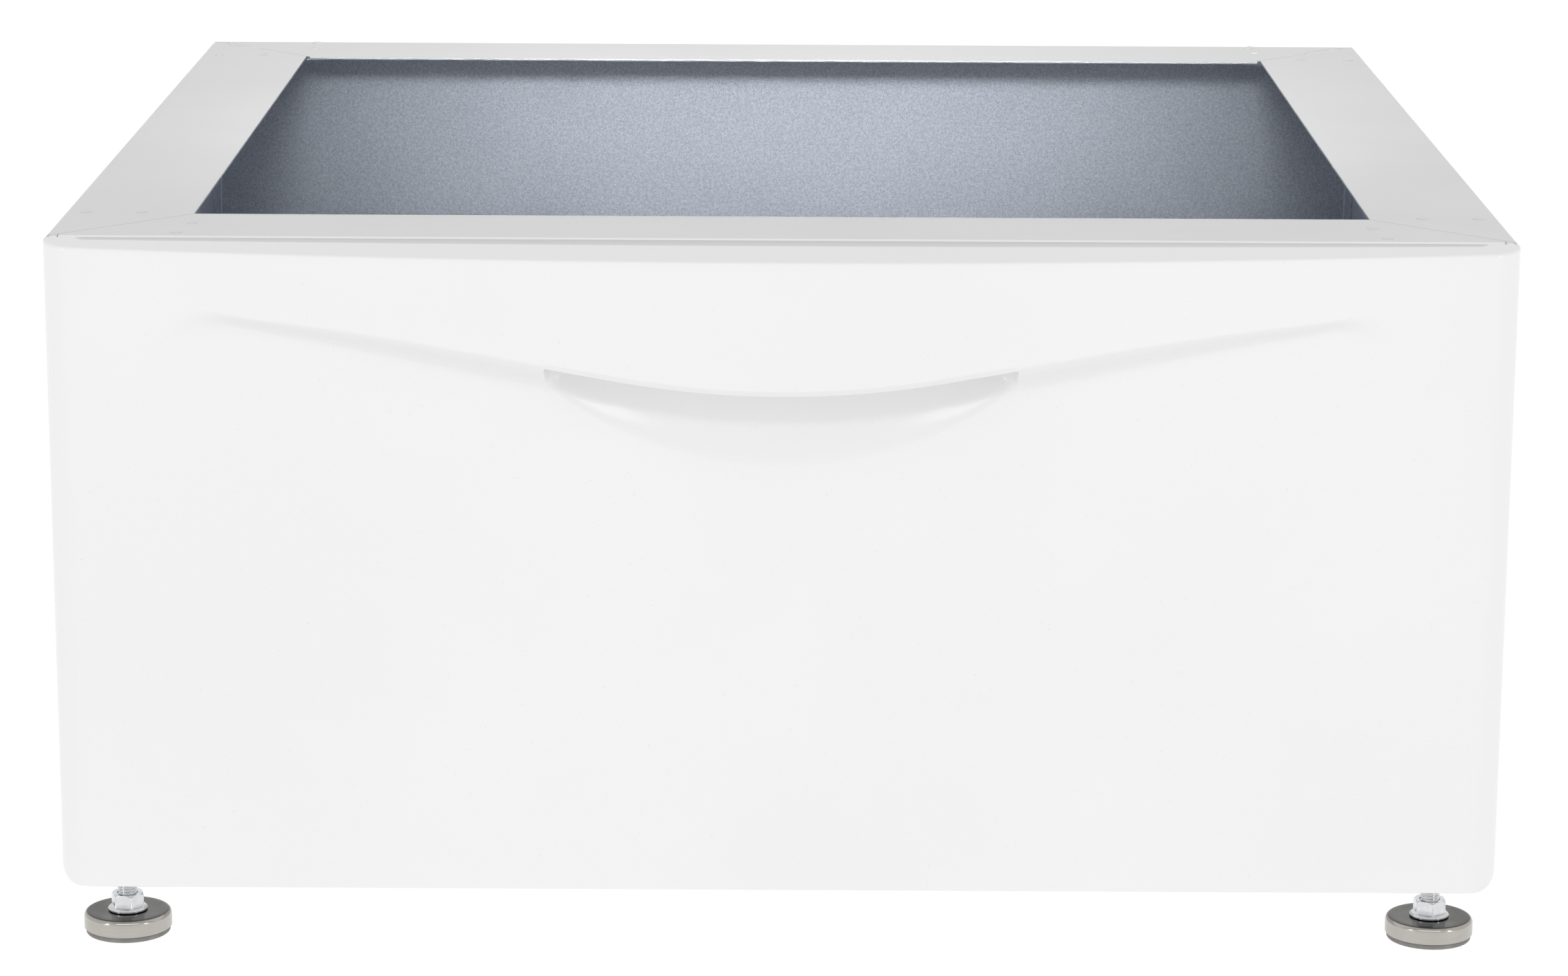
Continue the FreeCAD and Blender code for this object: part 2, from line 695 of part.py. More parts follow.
def drawer_end_wall(at_front):
    """Front or rear wall of the drawer."""
    y = box_front if at_front else box_rear
    way = 1 if at_front else -1
    section = folded(
        [(y + way * box_hem, box_top), (y, box_top), (y, box_bottom), (y + way * box_ledge, box_bottom)],
        box_sheet, bend, on_yz, side=1 if at_front else -1)
    end = box_half
    section.translate(Vector(-end, 0, 0))
    wall = section.extrude(Vector(2 * end, 0, 0))
    for sign in (-1, 1):
        gap_x = sorted((sign * (box_half - box_ledge - lap_gap), sign * (box_half + 1)))
        gap_y = sorted((y + way * (box_sheet + lap_gap / 2), y + way * (box_ledge + 5)))
        wall = wall.cut(box(*gap_x, *gap_y, box_bottom - 1, box_top + 1))
    if at_front:
        for x, z in front_screw_spots:
            wall = wall.cut(cylinder(screw_radius + screw_clearance, 6, x, y - 2, z, (0, 1, 0)))
    return wall


def drawer_floor():
    """Flat floor that lies on the walls' ledges."""
    inset = box_sheet + bend + lap_gap
    z0 = box_bottom + box_sheet
    return box(-box_half + inset, box_half - inset, box_front + inset, box_rear - inset, z0, z0 + box_sheet)


# ---- drawer slides: three nested channels on balls, drawn for the left side ----
wall_x = -inner_half
outer_half_gap = slide_height / 2 - slide_sheet
middle_half = outer_half_gap - race_gap
inner_member_half = middle_half - slide_sheet - race_gap
middle_web = 3.4


def slide_channel(web, lip_to, half_height):
    """One member: a web between two raceways, as a section extruded along the slide."""
    x0 = wall_x + web
    x1 = wall_x + lip_to
    path = [(x1, slide_level + half_height), (x0, slide_level + half_height),
            (x0, slide_level - half_height), (x1, slide_level - half_height)]
    section = folded(path, slide_sheet, race_bend, on_xz, side=1 if lip_to > web else -1)
    section.translate(Vector(0, slide_front, 0))
    return section.extrude(Vector(0, slide_length, 0))


def slide_member(kind):
    """Cabinet, middle or drawer member of the left slide, with its screw holes."""
    if kind == "cabinet":
        member = slide_channel(0, slide_thickness - 2.6, slide_height / 2)
        start = wall_x - 1
    elif kind == "middle":
        return slide_channel(middle_web, slide_thickness - 2.0, middle_half)
    else:
        member = slide_channel(slide_thickness, middle_web + 3.0, inner_member_half)
        start = -box_half - slide_sheet - 1
    for y in slide_bolt_spots:
        member = member.cut(cylinder(screw_radius + screw_clearance, 4, start, y, slide_level, (1, 0, 0)))
    return member


def ball_cage(level, web, reach, ball_x):
    """Thin bent strip with a row of balls above and below, for one gap of the left slide."""
    length = ball_spacing * balls_in_row
    start = slide_front + (slide_length - length) / 2
    path = [(wall_x + reach, slide_level + level + cage_sheet / 2),
            (wall_x + web, slide_level + level + cage_sheet / 2),
            (wall_x + web, slide_level - level - cage_sheet / 2),
            (wall_x + reach, slide_level - level - cage_sheet / 2)]
    section = folded(path, cage_sheet, 0.3, on_xz)
    section.translate(Vector(0, start, 0))
    strip = section.extrude(Vector(0, length, 0))
    balls = []
    for sign in (-1, 1):
        for i in range(balls_in_row):
            y = start + ball_spacing * (i + 0.5)
            z = slide_level + sign * level
            strip = strip.cut(cylinder(ball_radius + ball_clearance, 4, wall_x + ball_x, y, z - 2))
            balls.append(Part.makeSphere(ball_radius, Vector(wall_x + ball_x, y, z)))
    return group([strip] + balls)


def slide_screw(x, y, head_height, grip):
    """Low-headed screw across a slide's web, its head towards the drawer."""
    head = Part.makeCone(screw_head_radius, screw_head_radius - head_height, head_height,
                         Vector(x, y, slide_level), Vector(1, 0, 0))
    rod = cylinder(screw_radius, grip, x, y, slide_level, (-1, 0, 0))
    return join([head, rod])


def front_screw(x, z):
    """Screw from inside the drawer into the drawer front."""
    y = box_front + box_sheet
    head = Part.makeCone(screw_head_radius, screw_head_radius - 1.2, screw_head_height,
                         Vector(x, y, z), Vector(0, 1, 0))
    rod = cylinder(screw_radius, box_sheet + pan_sheet + 6.0, x, y, z, (0, -1, 0))
    return join([head, rod])


# ---- cabinet ----
left_side = side_panel()
save("left_side_panel", left_side)
save("right_side_panel", mirrored(left_side))
save("back_panel", back_panel())
save("top_front_rail", top_front_rail())
save("bottom_front_rail", bottom_front_rail())
for sign, is_front in all_corners:
    name = ("front" if is_front else "rear") + ("_left" if sign < 0 else "_right")
    save(f"top_gusset_{name}", top_gusset(sign, is_front))
save("top_frame_rivets", group([rivet(x, y, height, sheet + gusset_sheet) for x, y in rivet_spots]))
save("rear_corner_welds", corner_welds())

# ---- feet ----
for name, (x, y) in foot_spots.items():
    save(f"foot_bracket_{name}", foot_bracket(x, y))
    save(f"foot_pad_{name}", foot_pad(x, y))
    save(f"foot_cup_{name}", foot_cup(x, y))
    save(f"foot_stud_{name}", foot_stud(x, y))
    save(f"foot_hex_{name}", foot_hex(x, y))
save("foot_weld_nuts", group([weld_nut(x, y) for x, y in foot_spots.values()]))
save("foot_bracket_rivets", group([
    rivet(x, y, base + sheet + bracket_sheet, sheet + bracket_sheet) for x, y in bracket_rivet_spots]))

# ---- slides ----
for kind in ("cabinet", "middle", "drawer"):
    member = slide_member(kind)
    save(f"slide_{kind}_member_left", member)
    save(f"slide_{kind}_member_right", mirrored(member))
outer_level = (outer_half_gap + middle_half) / 2
inner_level = (middle_half - slide_sheet + inner_member_half) / 2
outer_cage = ball_cage(outer_level, slide_sheet + 0.9, slide_thickness - 3.0, 6.4)
inner_cage = ball_cage(inner_level, middle_web + slide_sheet + 0.6, slide_thickness - 2.4, 8.4)
save("ball_cage_outer_left", outer_cage)
save("ball_cage_outer_right", mirrored(outer_cage))
save("ball_cage_inner_left", inner_cage)
save("ball_cage_inner_right", mirrored(inner_cage))
cabinet_screws = [slide_screw(wall_x + slide_sheet, y, slide_head_height, slide_sheet + sheet)
                  for y in slide_bolt_spots]
save("slide_cabinet_screws", group(cabinet_screws + [mirrored(s) for s in cabinet_screws]))
drawer_screws = [slide_screw(-box_half + box_sheet, y, screw_head_height, slide_sheet + box_sheet)
                 for y in slide_bolt_spots]
save("slide_drawer_screws", group(drawer_screws + [mirrored(s) for s in drawer_screws]))

# ---- drawer ----
save("drawer_front_panel", drawer_front_panel())
save("drawer_front_pan", drawer_front_pan())
left_wall = drawer_side_wall()
save("drawer_left_wall", left_wall)
save("drawer_right_wall", mirrored(left_wall))
save("drawer_front_wall", drawer_end_wall(True))
save("drawer_back_wall", drawer_end_wall(False))
save("drawer_floor", drawer_floor())
save("drawer_front_screws", group([front_screw(x, z) for x, z in front_screw_spots]))
bumper_x = half - front_return / 2
bumpers = [cylinder(bumper_radius, front_gap - bumper_clearance, sign * bumper_x, panel_rear, z, (0, 1, 0))
           for sign in (-1, 1) for z in (base + 60, height - 60)]
save("drawer_bumpers", group(bumpers))
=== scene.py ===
# %% [markdown]
# # A laundry pedestal in white enamel
#
# The model is a steel stand with a wide storage drawer. A washing machine or a dryer stands on its
# open top frame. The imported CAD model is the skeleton: it gives every piece its size and its place,
# and this lesson dresses it. Some pieces keep their CAD shape and only get a finish. Others, such as
# the bowed drawer front and the threaded feet, are made again as smooth surfaces.

import math

import bmesh
import bpy
import numpy as np
from mathutils import Matrix, Vector


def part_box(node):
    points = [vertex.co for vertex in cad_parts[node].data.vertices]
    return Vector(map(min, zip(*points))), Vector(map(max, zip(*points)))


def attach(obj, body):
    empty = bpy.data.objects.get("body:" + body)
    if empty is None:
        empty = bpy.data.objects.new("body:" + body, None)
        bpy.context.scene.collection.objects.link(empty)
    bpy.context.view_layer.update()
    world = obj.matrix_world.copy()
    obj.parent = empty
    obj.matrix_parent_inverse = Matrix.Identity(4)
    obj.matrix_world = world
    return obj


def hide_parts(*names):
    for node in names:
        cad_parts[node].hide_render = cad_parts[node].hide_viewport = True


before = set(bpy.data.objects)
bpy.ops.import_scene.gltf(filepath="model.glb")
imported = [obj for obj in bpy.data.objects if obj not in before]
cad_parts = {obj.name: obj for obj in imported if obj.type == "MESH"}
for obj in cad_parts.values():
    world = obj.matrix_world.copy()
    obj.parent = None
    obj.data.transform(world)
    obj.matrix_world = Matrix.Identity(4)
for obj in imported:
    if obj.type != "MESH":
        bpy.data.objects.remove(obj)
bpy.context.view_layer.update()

# %% [markdown]
# ## Measures that everything else follows
#
# A shape that is made again must sit exactly where the CAD piece sits.

# %% Read the main planes
SIDE_LOW, SIDE_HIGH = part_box("left_side_panel")
SKIN_LOW, SKIN_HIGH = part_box("drawer_front_panel")
HALF = SKIN_HIGH[0]
TOP = SIDE_HIGH[2]
BASE = SIDE_LOW[2]
FACE = SIDE_LOW[1]
REAR = SIDE_HIGH[1]
SHEET = 0.0012
print("half width", round(HALF, 4), "top", round(TOP, 4), "front plane", round(FACE, 4))

# %% [markdown]
# ## Writing shader maths as plain sums
#
# A material is a graph of nodes. Clicking a sum together takes one node for each plus and
# minus, which is slow to read. The class below wraps one socket, so that `1 - mask * 0.3` in Python
# adds the same Math nodes to the graph. Colours don't go through it, because a Math node turns a
# colour grey: they go through a Mix node, which `Finish.mix` adds.

# %% A socket that understands sums
class Wire:
    """One output socket of a node, with arithmetic that adds Math nodes."""

    def __init__(self, finish, socket):
        self.finish = finish
        self.socket = socket

    def maths(self, operation, *others):
        values = {i: v for i, v in enumerate((self,) + others)}
        return self.finish.node("ShaderNodeMath", {"operation": operation}, values)

    def __add__(self, other):
        return self.maths("ADD", other)

    def __sub__(self, other):
        return self.maths("SUBTRACT", other)

    def __mul__(self, other):
        return self.maths("MULTIPLY", other)

    def __rsub__(self, other):
        return self.finish.node("ShaderNodeMath", {"operation": "SUBTRACT"}, {0: other, 1: self})

    __radd__ = __add__
    __rmul__ = __mul__


# %% A material under construction
class Finish:
    """A new material with one Principled shader, and short ways to add nodes to it."""

    def __init__(self, name, **constants):
        self.material = bpy.data.materials.new(name)
        self.material.use_nodes = True
        self.tree = self.material.node_tree
        self.tree.nodes.clear()
        output = self.tree.nodes.new("ShaderNodeOutputMaterial")
        self.shader = self.tree.nodes.new("ShaderNodeBsdfPrincipled")
        self.tree.links.new(self.shader.outputs[0], output.inputs["Surface"])
        for socket, value in constants.items():
            self.shader.inputs[socket.replace("_", " ")].default_value = value
        self.place = self.node("ShaderNodeTexCoord", output="Object")
        self.x = self.node("ShaderNodeSeparateXYZ", {}, {0: self.place}, "X")
        self.y = self.node("ShaderNodeSeparateXYZ", {}, {0: self.place}, "Y")
        self.z = self.node("ShaderNodeSeparateXYZ", {}, {0: self.place}, "Z")

    def node(self, kind, settings=None, sockets=None, output=0):
        """Adds a node: its settings first, then the value or the link of each socket."""
        made = self.tree.nodes.new(kind)
        for name, value in (settings or {}).items():
            setattr(made, name, value)
        for name, value in (sockets or {}).items():
            if isinstance(value, Wire):
                self.tree.links.new(value.socket, made.inputs[name])
            else:
                made.inputs[name].default_value = value
        return Wire(self, made.outputs[output])

    def noise(self, scale, detail=2.0, roughness=0.5, vector=None):
        """Soft noise from 0 to 1, whose features are about 1 / scale metres across."""
        return self.node("ShaderNodeTexNoise", {"noise_dimensions": "3D"}, {
            "Vector": vector or self.place, "Scale": scale, "Detail": detail, "Roughness": roughness})

    def stretched(self, x, y, z):
        """Object coordinates scaled by axis, for a grain that runs one way."""
        return self.node("ShaderNodeMapping", {}, {"Vector": self.place, "Scale": (x, y, z)})

    def step(self, value, low, high):
        """0 below low, 1 above high, and a smooth rise between."""
        return self.node("ShaderNodeMapRange", {"interpolation_type": "SMOOTHSTEP"}, {
            "Value": value, "From Min": low, "From Max": high})

    def mix(self, factor, first, second):
        """The first colour where the factor is 0, and the second where it is 1."""
        return self.node("ShaderNodeMix", {"data_type": "RGBA"}, {0: factor, 6: first, 7: second}, 2)

    def feed(self, **wires):
        """Links wires to the shader's sockets, named with _ for a space."""
        for name, wire in wires.items():
            self.tree.links.new(wire.socket, self.shader.inputs[name.replace("_", " ")])

    def relief(self, height, depth, under=None):
        """A height from 0 to 1 becomes a bump of the given depth in metres."""
        sockets = {"Height": height, "Distance": depth}
        if under:
            sockets["Normal"] = under
        return self.node("ShaderNodeBump", {}, sockets)


def tone(level, blue=0.0):
    """A neutral colour, or with blue above 0 a cooler one."""
    return (level - blue, level - blue * 0.3, level + blue, 1)


print("helpers ready")

# %% [markdown]
# ## White enamel outside, grey coat inside
#
# The cabinet is folded from sheet that was painted before it was folded. Its outer side is white
# satin enamel. Its inner side has a thin blue-grey coat with fine metal flakes. Two materials on one
# thin wall could be set face by face, but a fold's faces would have to be picked by hand. Here one
# material asks how deep a point lies under the cabinet's outer surface, which is a box with rounded
# folds: nearer than half a sheet is white, and deeper is grey. The depth under a rounded box is the
# fold radius less the length of what each distance lacks to that radius.

# %% How deep a point lies under the folded outside
def folded_depth(finish, low_z, fold):
    """Fold radius minus the length of (fold - distance to the x, y and z planes), each at least 0."""
    in_x = HALF - finish.x.maths("ABSOLUTE")
    in_y = (finish.y - FACE).maths("MINIMUM", REAR - finish.y)
    in_z = (finish.z - low_z).maths("MINIMUM", TOP - finish.z)
    lacks = [(fold - distance).maths("MAXIMUM", 0.0) for distance in (in_x, in_y, in_z)]
    squares = lacks[0] * lacks[0] + lacks[1] * lacks[1] + lacks[2] * lacks[2]
    return fold - squares.maths("SQRT")


# %% The enamel's colours, with painted shade on the top face and painted light below it
# The first two colours are the top face's enamel, painted darker as shade, with a random cloud between them.
# The third is the enamel below the top face, painted whiter as light; it also stands in for the highlight
# along the folds.
ENAMEL_TOP_PAINTED_SHADE = (0.715, 0.718, 0.714, 1)
ENAMEL_SHADE = (0.700, 0.704, 0.702, 1)
ENAMEL_PAINTED_LIGHT_BELOW_TOP = (0.900, 0.902, 0.900, 1)
SEAM_PAINTED_SHADE = (0.46, 0.46, 0.465, 1)
FRONT_MITRE = ((0.337, -0.300), (0.2808, -0.245))
REAR_MITRE = ((0.3418, 0.34495), (0.2808, 0.28615))


def enamel_relief(finish, depth=0.000012):
    """Orange peel: ripples of about 1.5 mm, over slow waves of the pressed sheet."""
    waves = finish.relief(finish.noise(14.0, 1.0), 0.00012)
    return finish.relief(finish.noise(650.0, 3.0, 0.55), depth, waves)


def mitre_lines(finish):
    """1 on the four mitres of the top frame, where a seam's painted shade goes, and 0 from 0.6 mm beside
    them.

    A mitre is a straight line between two corners, so the distance to it is a sum of x and y.
    """
    side = finish.x.maths("ABSOLUTE")
    near = 0.0
    for outer, inner in (FRONT_MITRE, REAR_MITRE):
        run = Vector(inner) - Vector(outer)
        across_x, across_y = -run.y / run.length, run.x / run.length
        away = (side - outer[0]) * across_x + (finish.y - outer[1]) * across_y
        line = 1 - finish.step(away.maths("ABSOLUTE"), 0.00015, 0.0006)
        inside_run = finish.step(side, inner[0] - 0.0002, inner[0])
        near = line * inside_run + near
    return near


def cabinet_finish(name, low_z, fold):
    """White where a point is nearer than half a sheet, grey below; the top face is painted darker as shade,
    and the sides and folds below it are painted whiter as light.
    """
    finish = Finish(name, IOR=1.5, Coat_Weight=0.0)
    inside = finish.step(folded_depth(finish, low_z, fold), SHEET * 0.45, SHEET * 0.55)
    cloud = finish.noise(9.0, 3.0)
    white = finish.mix(finish.step(cloud, 0.35, 0.7), ENAMEL_TOP_PAINTED_SHADE, ENAMEL_SHADE)
    # Below the top face the enamel is painted whiter as light, and the top face keeps its darker painted
    # shade.
    white = finish.mix(finish.step(finish.z, TOP - 0.0006, TOP - 0.0001), ENAMEL_PAINTED_LIGHT_BELOW_TOP, white)
    # A grey line along each mitre is painted shade standing in for the shadow in the narrow seam gap.
    white = finish.mix(mitre_lines(finish) * 0.75, white, SEAM_PAINTED_SHADE)
    flakes = finish.step(finish.noise(1700.0, 2.0, 0.7), 0.40, 0.70)
    grains = finish.step(finish.noise(600.0, 3.0, 0.6), 0.35, 0.65)
    coat = finish.mix(flakes * 0.7 + grains * 0.3, (0.36, 0.39, 0.45, 1), (0.68, 0.72, 0.80, 1))
    metal = inside * 0.85
    rough = (1 - inside) * (0.29 + 0.08 * cloud) + inside * (0.36 + 0.10 * flakes)
    peel = finish.relief(finish.noise(650.0, 3.0, 0.55), 0.000005)
    finish.feed(Base_Color=finish.mix(inside, white, coat), Metallic=metal, Roughness=rough, Normal=peel)
    return finish.material


FOLD = 0.0028
RAIL_FOLD = 0.0062
RAIL_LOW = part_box("top_front_rail")[0][2]
cabinet_enamel = cabinet_finish("white enamel, grey inside", BASE, FOLD)
rail_enamel = cabinet_finish("white enamel, grey inside, wide fold", RAIL_LOW, RAIL_FOLD)
print("cabinet finishes", cabinet_enamel.name, "and", rail_enamel.name)

# %% [markdown]
# ## The drawer front's gloss
#
# The drawer front is enamelled after it is pressed, so it has one coat all over. It is glossier than
# the cabinet: its edges catch the lamps as thin bright lines. The lacquer has a very faint orange
# peel, and its gloss changes slowly from place to place, as a wiped surface does.

# %% Gloss enamel
def front_finish():
    finish = Finish("gloss white enamel", IOR=1.5)
    cloud = finish.noise(5.0, 4.0, 0.6)
    specks = finish.step(finish.noise(900.0, 1.0), 0.74, 0.80)
    colour = finish.mix(finish.step(cloud, 0.35, 0.7), (0.862, 0.861, 0.86, 1), (0.848, 0.848, 0.847, 1))
    colour = finish.mix(specks * 0.35, colour, (0.60, 0.61, 0.62, 1))
    rough = 0.11 + 0.05 * cloud + 0.05 * specks
    finish.feed(Base_Color=colour, Roughness=rough, Normal=enamel_relief(finish, 0.000006))
    return finish.material


front_enamel = front_finish()
print("front finish", front_enamel.name)

# %% [markdown]
# ## Metals and rubber
#
# Five metals are here. Zinc-coated sheet has large crystals, which a Voronoi texture gives. The
# slides' steel was rolled, so its grain runs along the slide. Plated screws are bright with a soft
# mottling. The feet's stainless cups are brushed round their side and polished on their rim.

# %% Zinc-coated sheet
def zinc_finish():
    finish = Finish("zinc coated sheet")
    crystals = finish.node("ShaderNodeTexVoronoi", {"feature": "F1"},
                           {"Vector": finish.place, "Scale": 170.0, "Randomness": 1.0}, "Color")
    shade = finish.node("ShaderNodeSeparateColor", {}, {0: crystals}, 0)
    fine = finish.noise(1400.0, 3.0, 0.6)
    colour = finish.mix(shade * 0.6 + fine * 0.4, tone(0.40, 0.012), tone(0.66, 0.012))
    rough = 0.34 + 0.16 * shade + 0.10 * fine
    finish.feed(Base_Color=colour, Metallic=0.9 + 0.1 * fine, Roughness=rough,
                Normal=finish.relief(fine, 0.00001))
    return finish.material


zinc_sheet = zinc_finish()

# %% Rolled slide steel, and the darker steel of the ball cages
def rolled_finish(name, dark, light, rough):
    finish = Finish(name)
    along = finish.noise(1.0, 4.0, 0.6, finish.stretched(900.0, 12.0, 900.0))
    oil = finish.step(finish.noise(30.0, 3.0), 0.45, 0.7)
    finish.feed(Base_Color=finish.mix(along, dark, light), Metallic=0.92 + 0.08 * along,
                Roughness=rough + 0.12 * along - 0.08 * oil, Normal=finish.relief(along, 0.000012))
    return finish.material


slide_steel = rolled_finish("rolled slide steel", tone(0.42, 0.01), tone(0.68, 0.01), 0.30)
cage_steel = rolled_finish("ball cage steel", (0.30, 0.29, 0.26, 1), (0.52, 0.50, 0.46, 1), 0.26)

# %% Plated screws, studs and nuts
def plated_finish():
    finish = Finish("bright zinc plating")
    mottle = finish.noise(260.0, 4.0, 0.6)
    fine = finish.noise(2200.0, 2.0)
    finish.feed(Base_Color=finish.mix(mottle, tone(0.56, 0.012), tone(0.86, 0.008)),
                Metallic=0.95 + 0.05 * fine, Roughness=0.10 + 0.12 * mottle,
                Normal=finish.relief(fine, 0.000008))
    return finish.material


plating = plated_finish()

# %% Stainless cup: brushed round the side, polished on the rim, and its flat top painted dark as a reflection
CUP_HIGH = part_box("foot_cup_front_left")[1][2]
CUP_RIM = 0.0022


def cup_finish():
    finish = Finish("brushed stainless steel")
    polished = finish.step(finish.z, CUP_HIGH - CUP_RIM, CUP_HIGH - CUP_RIM * 0.5)
    painted_dark_reflection = finish.step(finish.z, CUP_HIGH - 0.0005, CUP_HIGH - 0.0001)
    lines = finish.noise(1.0, 3.0, 0.7, finish.stretched(40.0, 40.0, 5200.0))
    smear = finish.noise(90.0, 3.0)
    brushed = (1 - polished) * lines
    steel = finish.mix(lines * 0.6 + smear * 0.4, (0.38, 0.362, 0.335, 1), (0.58, 0.556, 0.52, 1))
    # The flat top is painted near black as a dark reflection of the surroundings in the polished steel.
    colour = finish.mix(painted_dark_reflection, steel, finish.mix(smear, (0.035, 0.034, 0.032, 1), (0.12, 0.117, 0.110, 1)))
    finish.feed(Base_Color=colour, Metallic=0.97 + 0.03 * smear,
                Roughness=0.10 + 0.06 * smear + (1 - polished) * 0.16,
                Normal=finish.relief(brushed, 0.00003))
    return finish.material


cup_steel = cup_finish()

# %% Rubber of the soles and bumpers
def rubber_finish():
    finish = Finish("grey rubber", IOR=1.5)
    dust = finish.step(finish.noise(120.0, 4.0, 0.65), 0.4, 0.75)
    grain = finish.noise(1800.0, 2.0)
    finish.feed(Base_Color=finish.mix(dust, (0.20, 0.195, 0.185, 1), (0.29, 0.285, 0.27, 1)),
                Roughness=0.62 + 0.25 * dust, Normal=finish.relief(grain, 0.00004))
    return finish.material


rubber = rubber_finish()

# %% Powder coat of the drawer box
def powder_finish():
    finish = Finish("pale grey powder coat", IOR=1.5)
    pebbles = finish.noise(800.0, 3.0, 0.6)
    cloud = finish.noise(7.0, 3.0)
    colour = finish.mix(cloud * 0.5 + pebbles * 0.5, (0.56, 0.58, 0.59, 1), (0.66, 0.68, 0.69, 1))
    finish.feed(Base_Color=colour, Roughness=0.46 + 0.16 * pebbles,
                Normal=finish.relief(pebbles, 0.00003))
    return finish.material


powder_coat = powder_finish()
FINISHES = {
    "cabinet_paint": cabinet_enamel,
    "drawer_front_paint": front_enamel,
    "bare_zinc_sheet": zinc_sheet,
    "drawer_box_paint": powder_coat,
    "slide_steel": slide_steel,
    "ball_cage_steel": cage_steel,
    "plated_fasteners": plating,
    "stainless_cup": cup_steel,
    "rubber": rubber,
}
print(len(FINISHES), "slots have a finish")

# %% [markdown]
# ## Finishes on the pieces that keep their CAD shape
#
# Each CAD node arrives with a plain material named after its slot. The loop looks that name up and
# puts the detailed material in its place. The top rail has a wider fold and starts higher than the
# rest of the cabinet, so it has its own version of the enamel.

# %% Dress the CAD nodes
for name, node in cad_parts.items():
    for holder in node.material_slots:
        holder.material = FINISHES[holder.material.name]
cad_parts["top_front_rail"].material_slots[0].material = rail_enamel
print(len(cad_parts), "CAD nodes dressed")

# %% [markdown]
# ## Making a surface from arrays
#
# Every new piece is a grid of points: one array direction runs along the piece, and the other runs
# across it. The quads between neighbours are worked out in one go. Points that fall on each other,
# at a pole or a seam, are merged, and the faces are turned outwards.

# %% Grid to mesh
def grid_quads(rows, columns, joined=False):
    """Quads between neighbours of a rows x columns grid. Joined closes the last column to the first."""
    last = columns if joined else columns - 1
    row, column = np.meshgrid(np.arange(rows - 1), np.arange(last), indexing="ij")
    beside = (column + 1) % columns
    corners = [row * columns + column, row * columns + beside,
               (row + 1) * columns + beside, (row + 1) * columns + column]
    return np.stack(corners, axis=-1).reshape(-1, 4)


def build(name, parts, body, material, stands_for=(), sharp=40.0, turn=True):
    """One object from (points, quads) pairs. Doubles are merged and faces turned outwards."""
    points = []
    quads = []
    count = 0
    for some_points, some_quads in parts:
        flat = np.asarray(some_points, dtype=float).reshape(-1, 3)
        points.append(flat)
        quads.append(np.asarray(some_quads) + count)
        count += len(flat)
    mesh = bpy.data.meshes.new(name)
    mesh.from_pydata(np.concatenate(points).tolist(), [], np.concatenate(quads).tolist())
    shape = bmesh.new()
    shape.from_mesh(mesh)
    bmesh.ops.remove_doubles(shape, verts=shape.verts, dist=2e-6)
    bmesh.ops.dissolve_degenerate(shape, edges=shape.edges, dist=1e-6)
    if turn:
        bmesh.ops.recalc_face_normals(shape, faces=shape.faces)
    shape.to_mesh(mesh)
    shape.free()
    mesh.polygons.foreach_set("use_smooth", np.ones(len(mesh.polygons), dtype=bool))
    mesh.set_sharp_from_angle(angle=math.radians(sharp))
    piece = bpy.data.objects.new(name, mesh)
    bpy.context.scene.collection.objects.link(piece)
    mesh.materials.append(material)
    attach(piece, body)
    if stands_for:
        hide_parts(*stands_for)
    print(name, len(mesh.polygons), "faces")
    return piece


def smooth(value, low, high):
    """Smoothstep: 0 at low, 1 at high, and 3t^2 - 2t^3 between."""
    t = np.clip((np.asarray(value, dtype=float) - low) / (high - low), 0.0, 1.0)
    return t * t * (3.0 - 2.0 * t)


print("grid helpers ready")

# %% [markdown]
# ## The bowed drawer front
#
# The front is one pressed sheet. Seen from above it is bowed, with rounded corners. A brow sweeps
# across it like a shallow wave. Under the middle of the brow the sheet turns under, as a lip, into a
# scoop for the fingers, and towards its ends the step gets lower and softer until it is gone. Cutting
# this from blocks leaves hard edges, and sculpting isn't exact. A grid can carry all of it: a column
# is a place on the outline seen from above, and a row is a place on the profile from top to bottom.

# %% Columns: the outline from above
CROWN = SKIN_LOW[1]
BACK = SKIN_HIGH[1]
BOW = 0.022
CORNER = 0.018
SCOOP_HALF = 0.109
bow_radius = (HALF * HALF + BOW * BOW) / (2 * BOW)


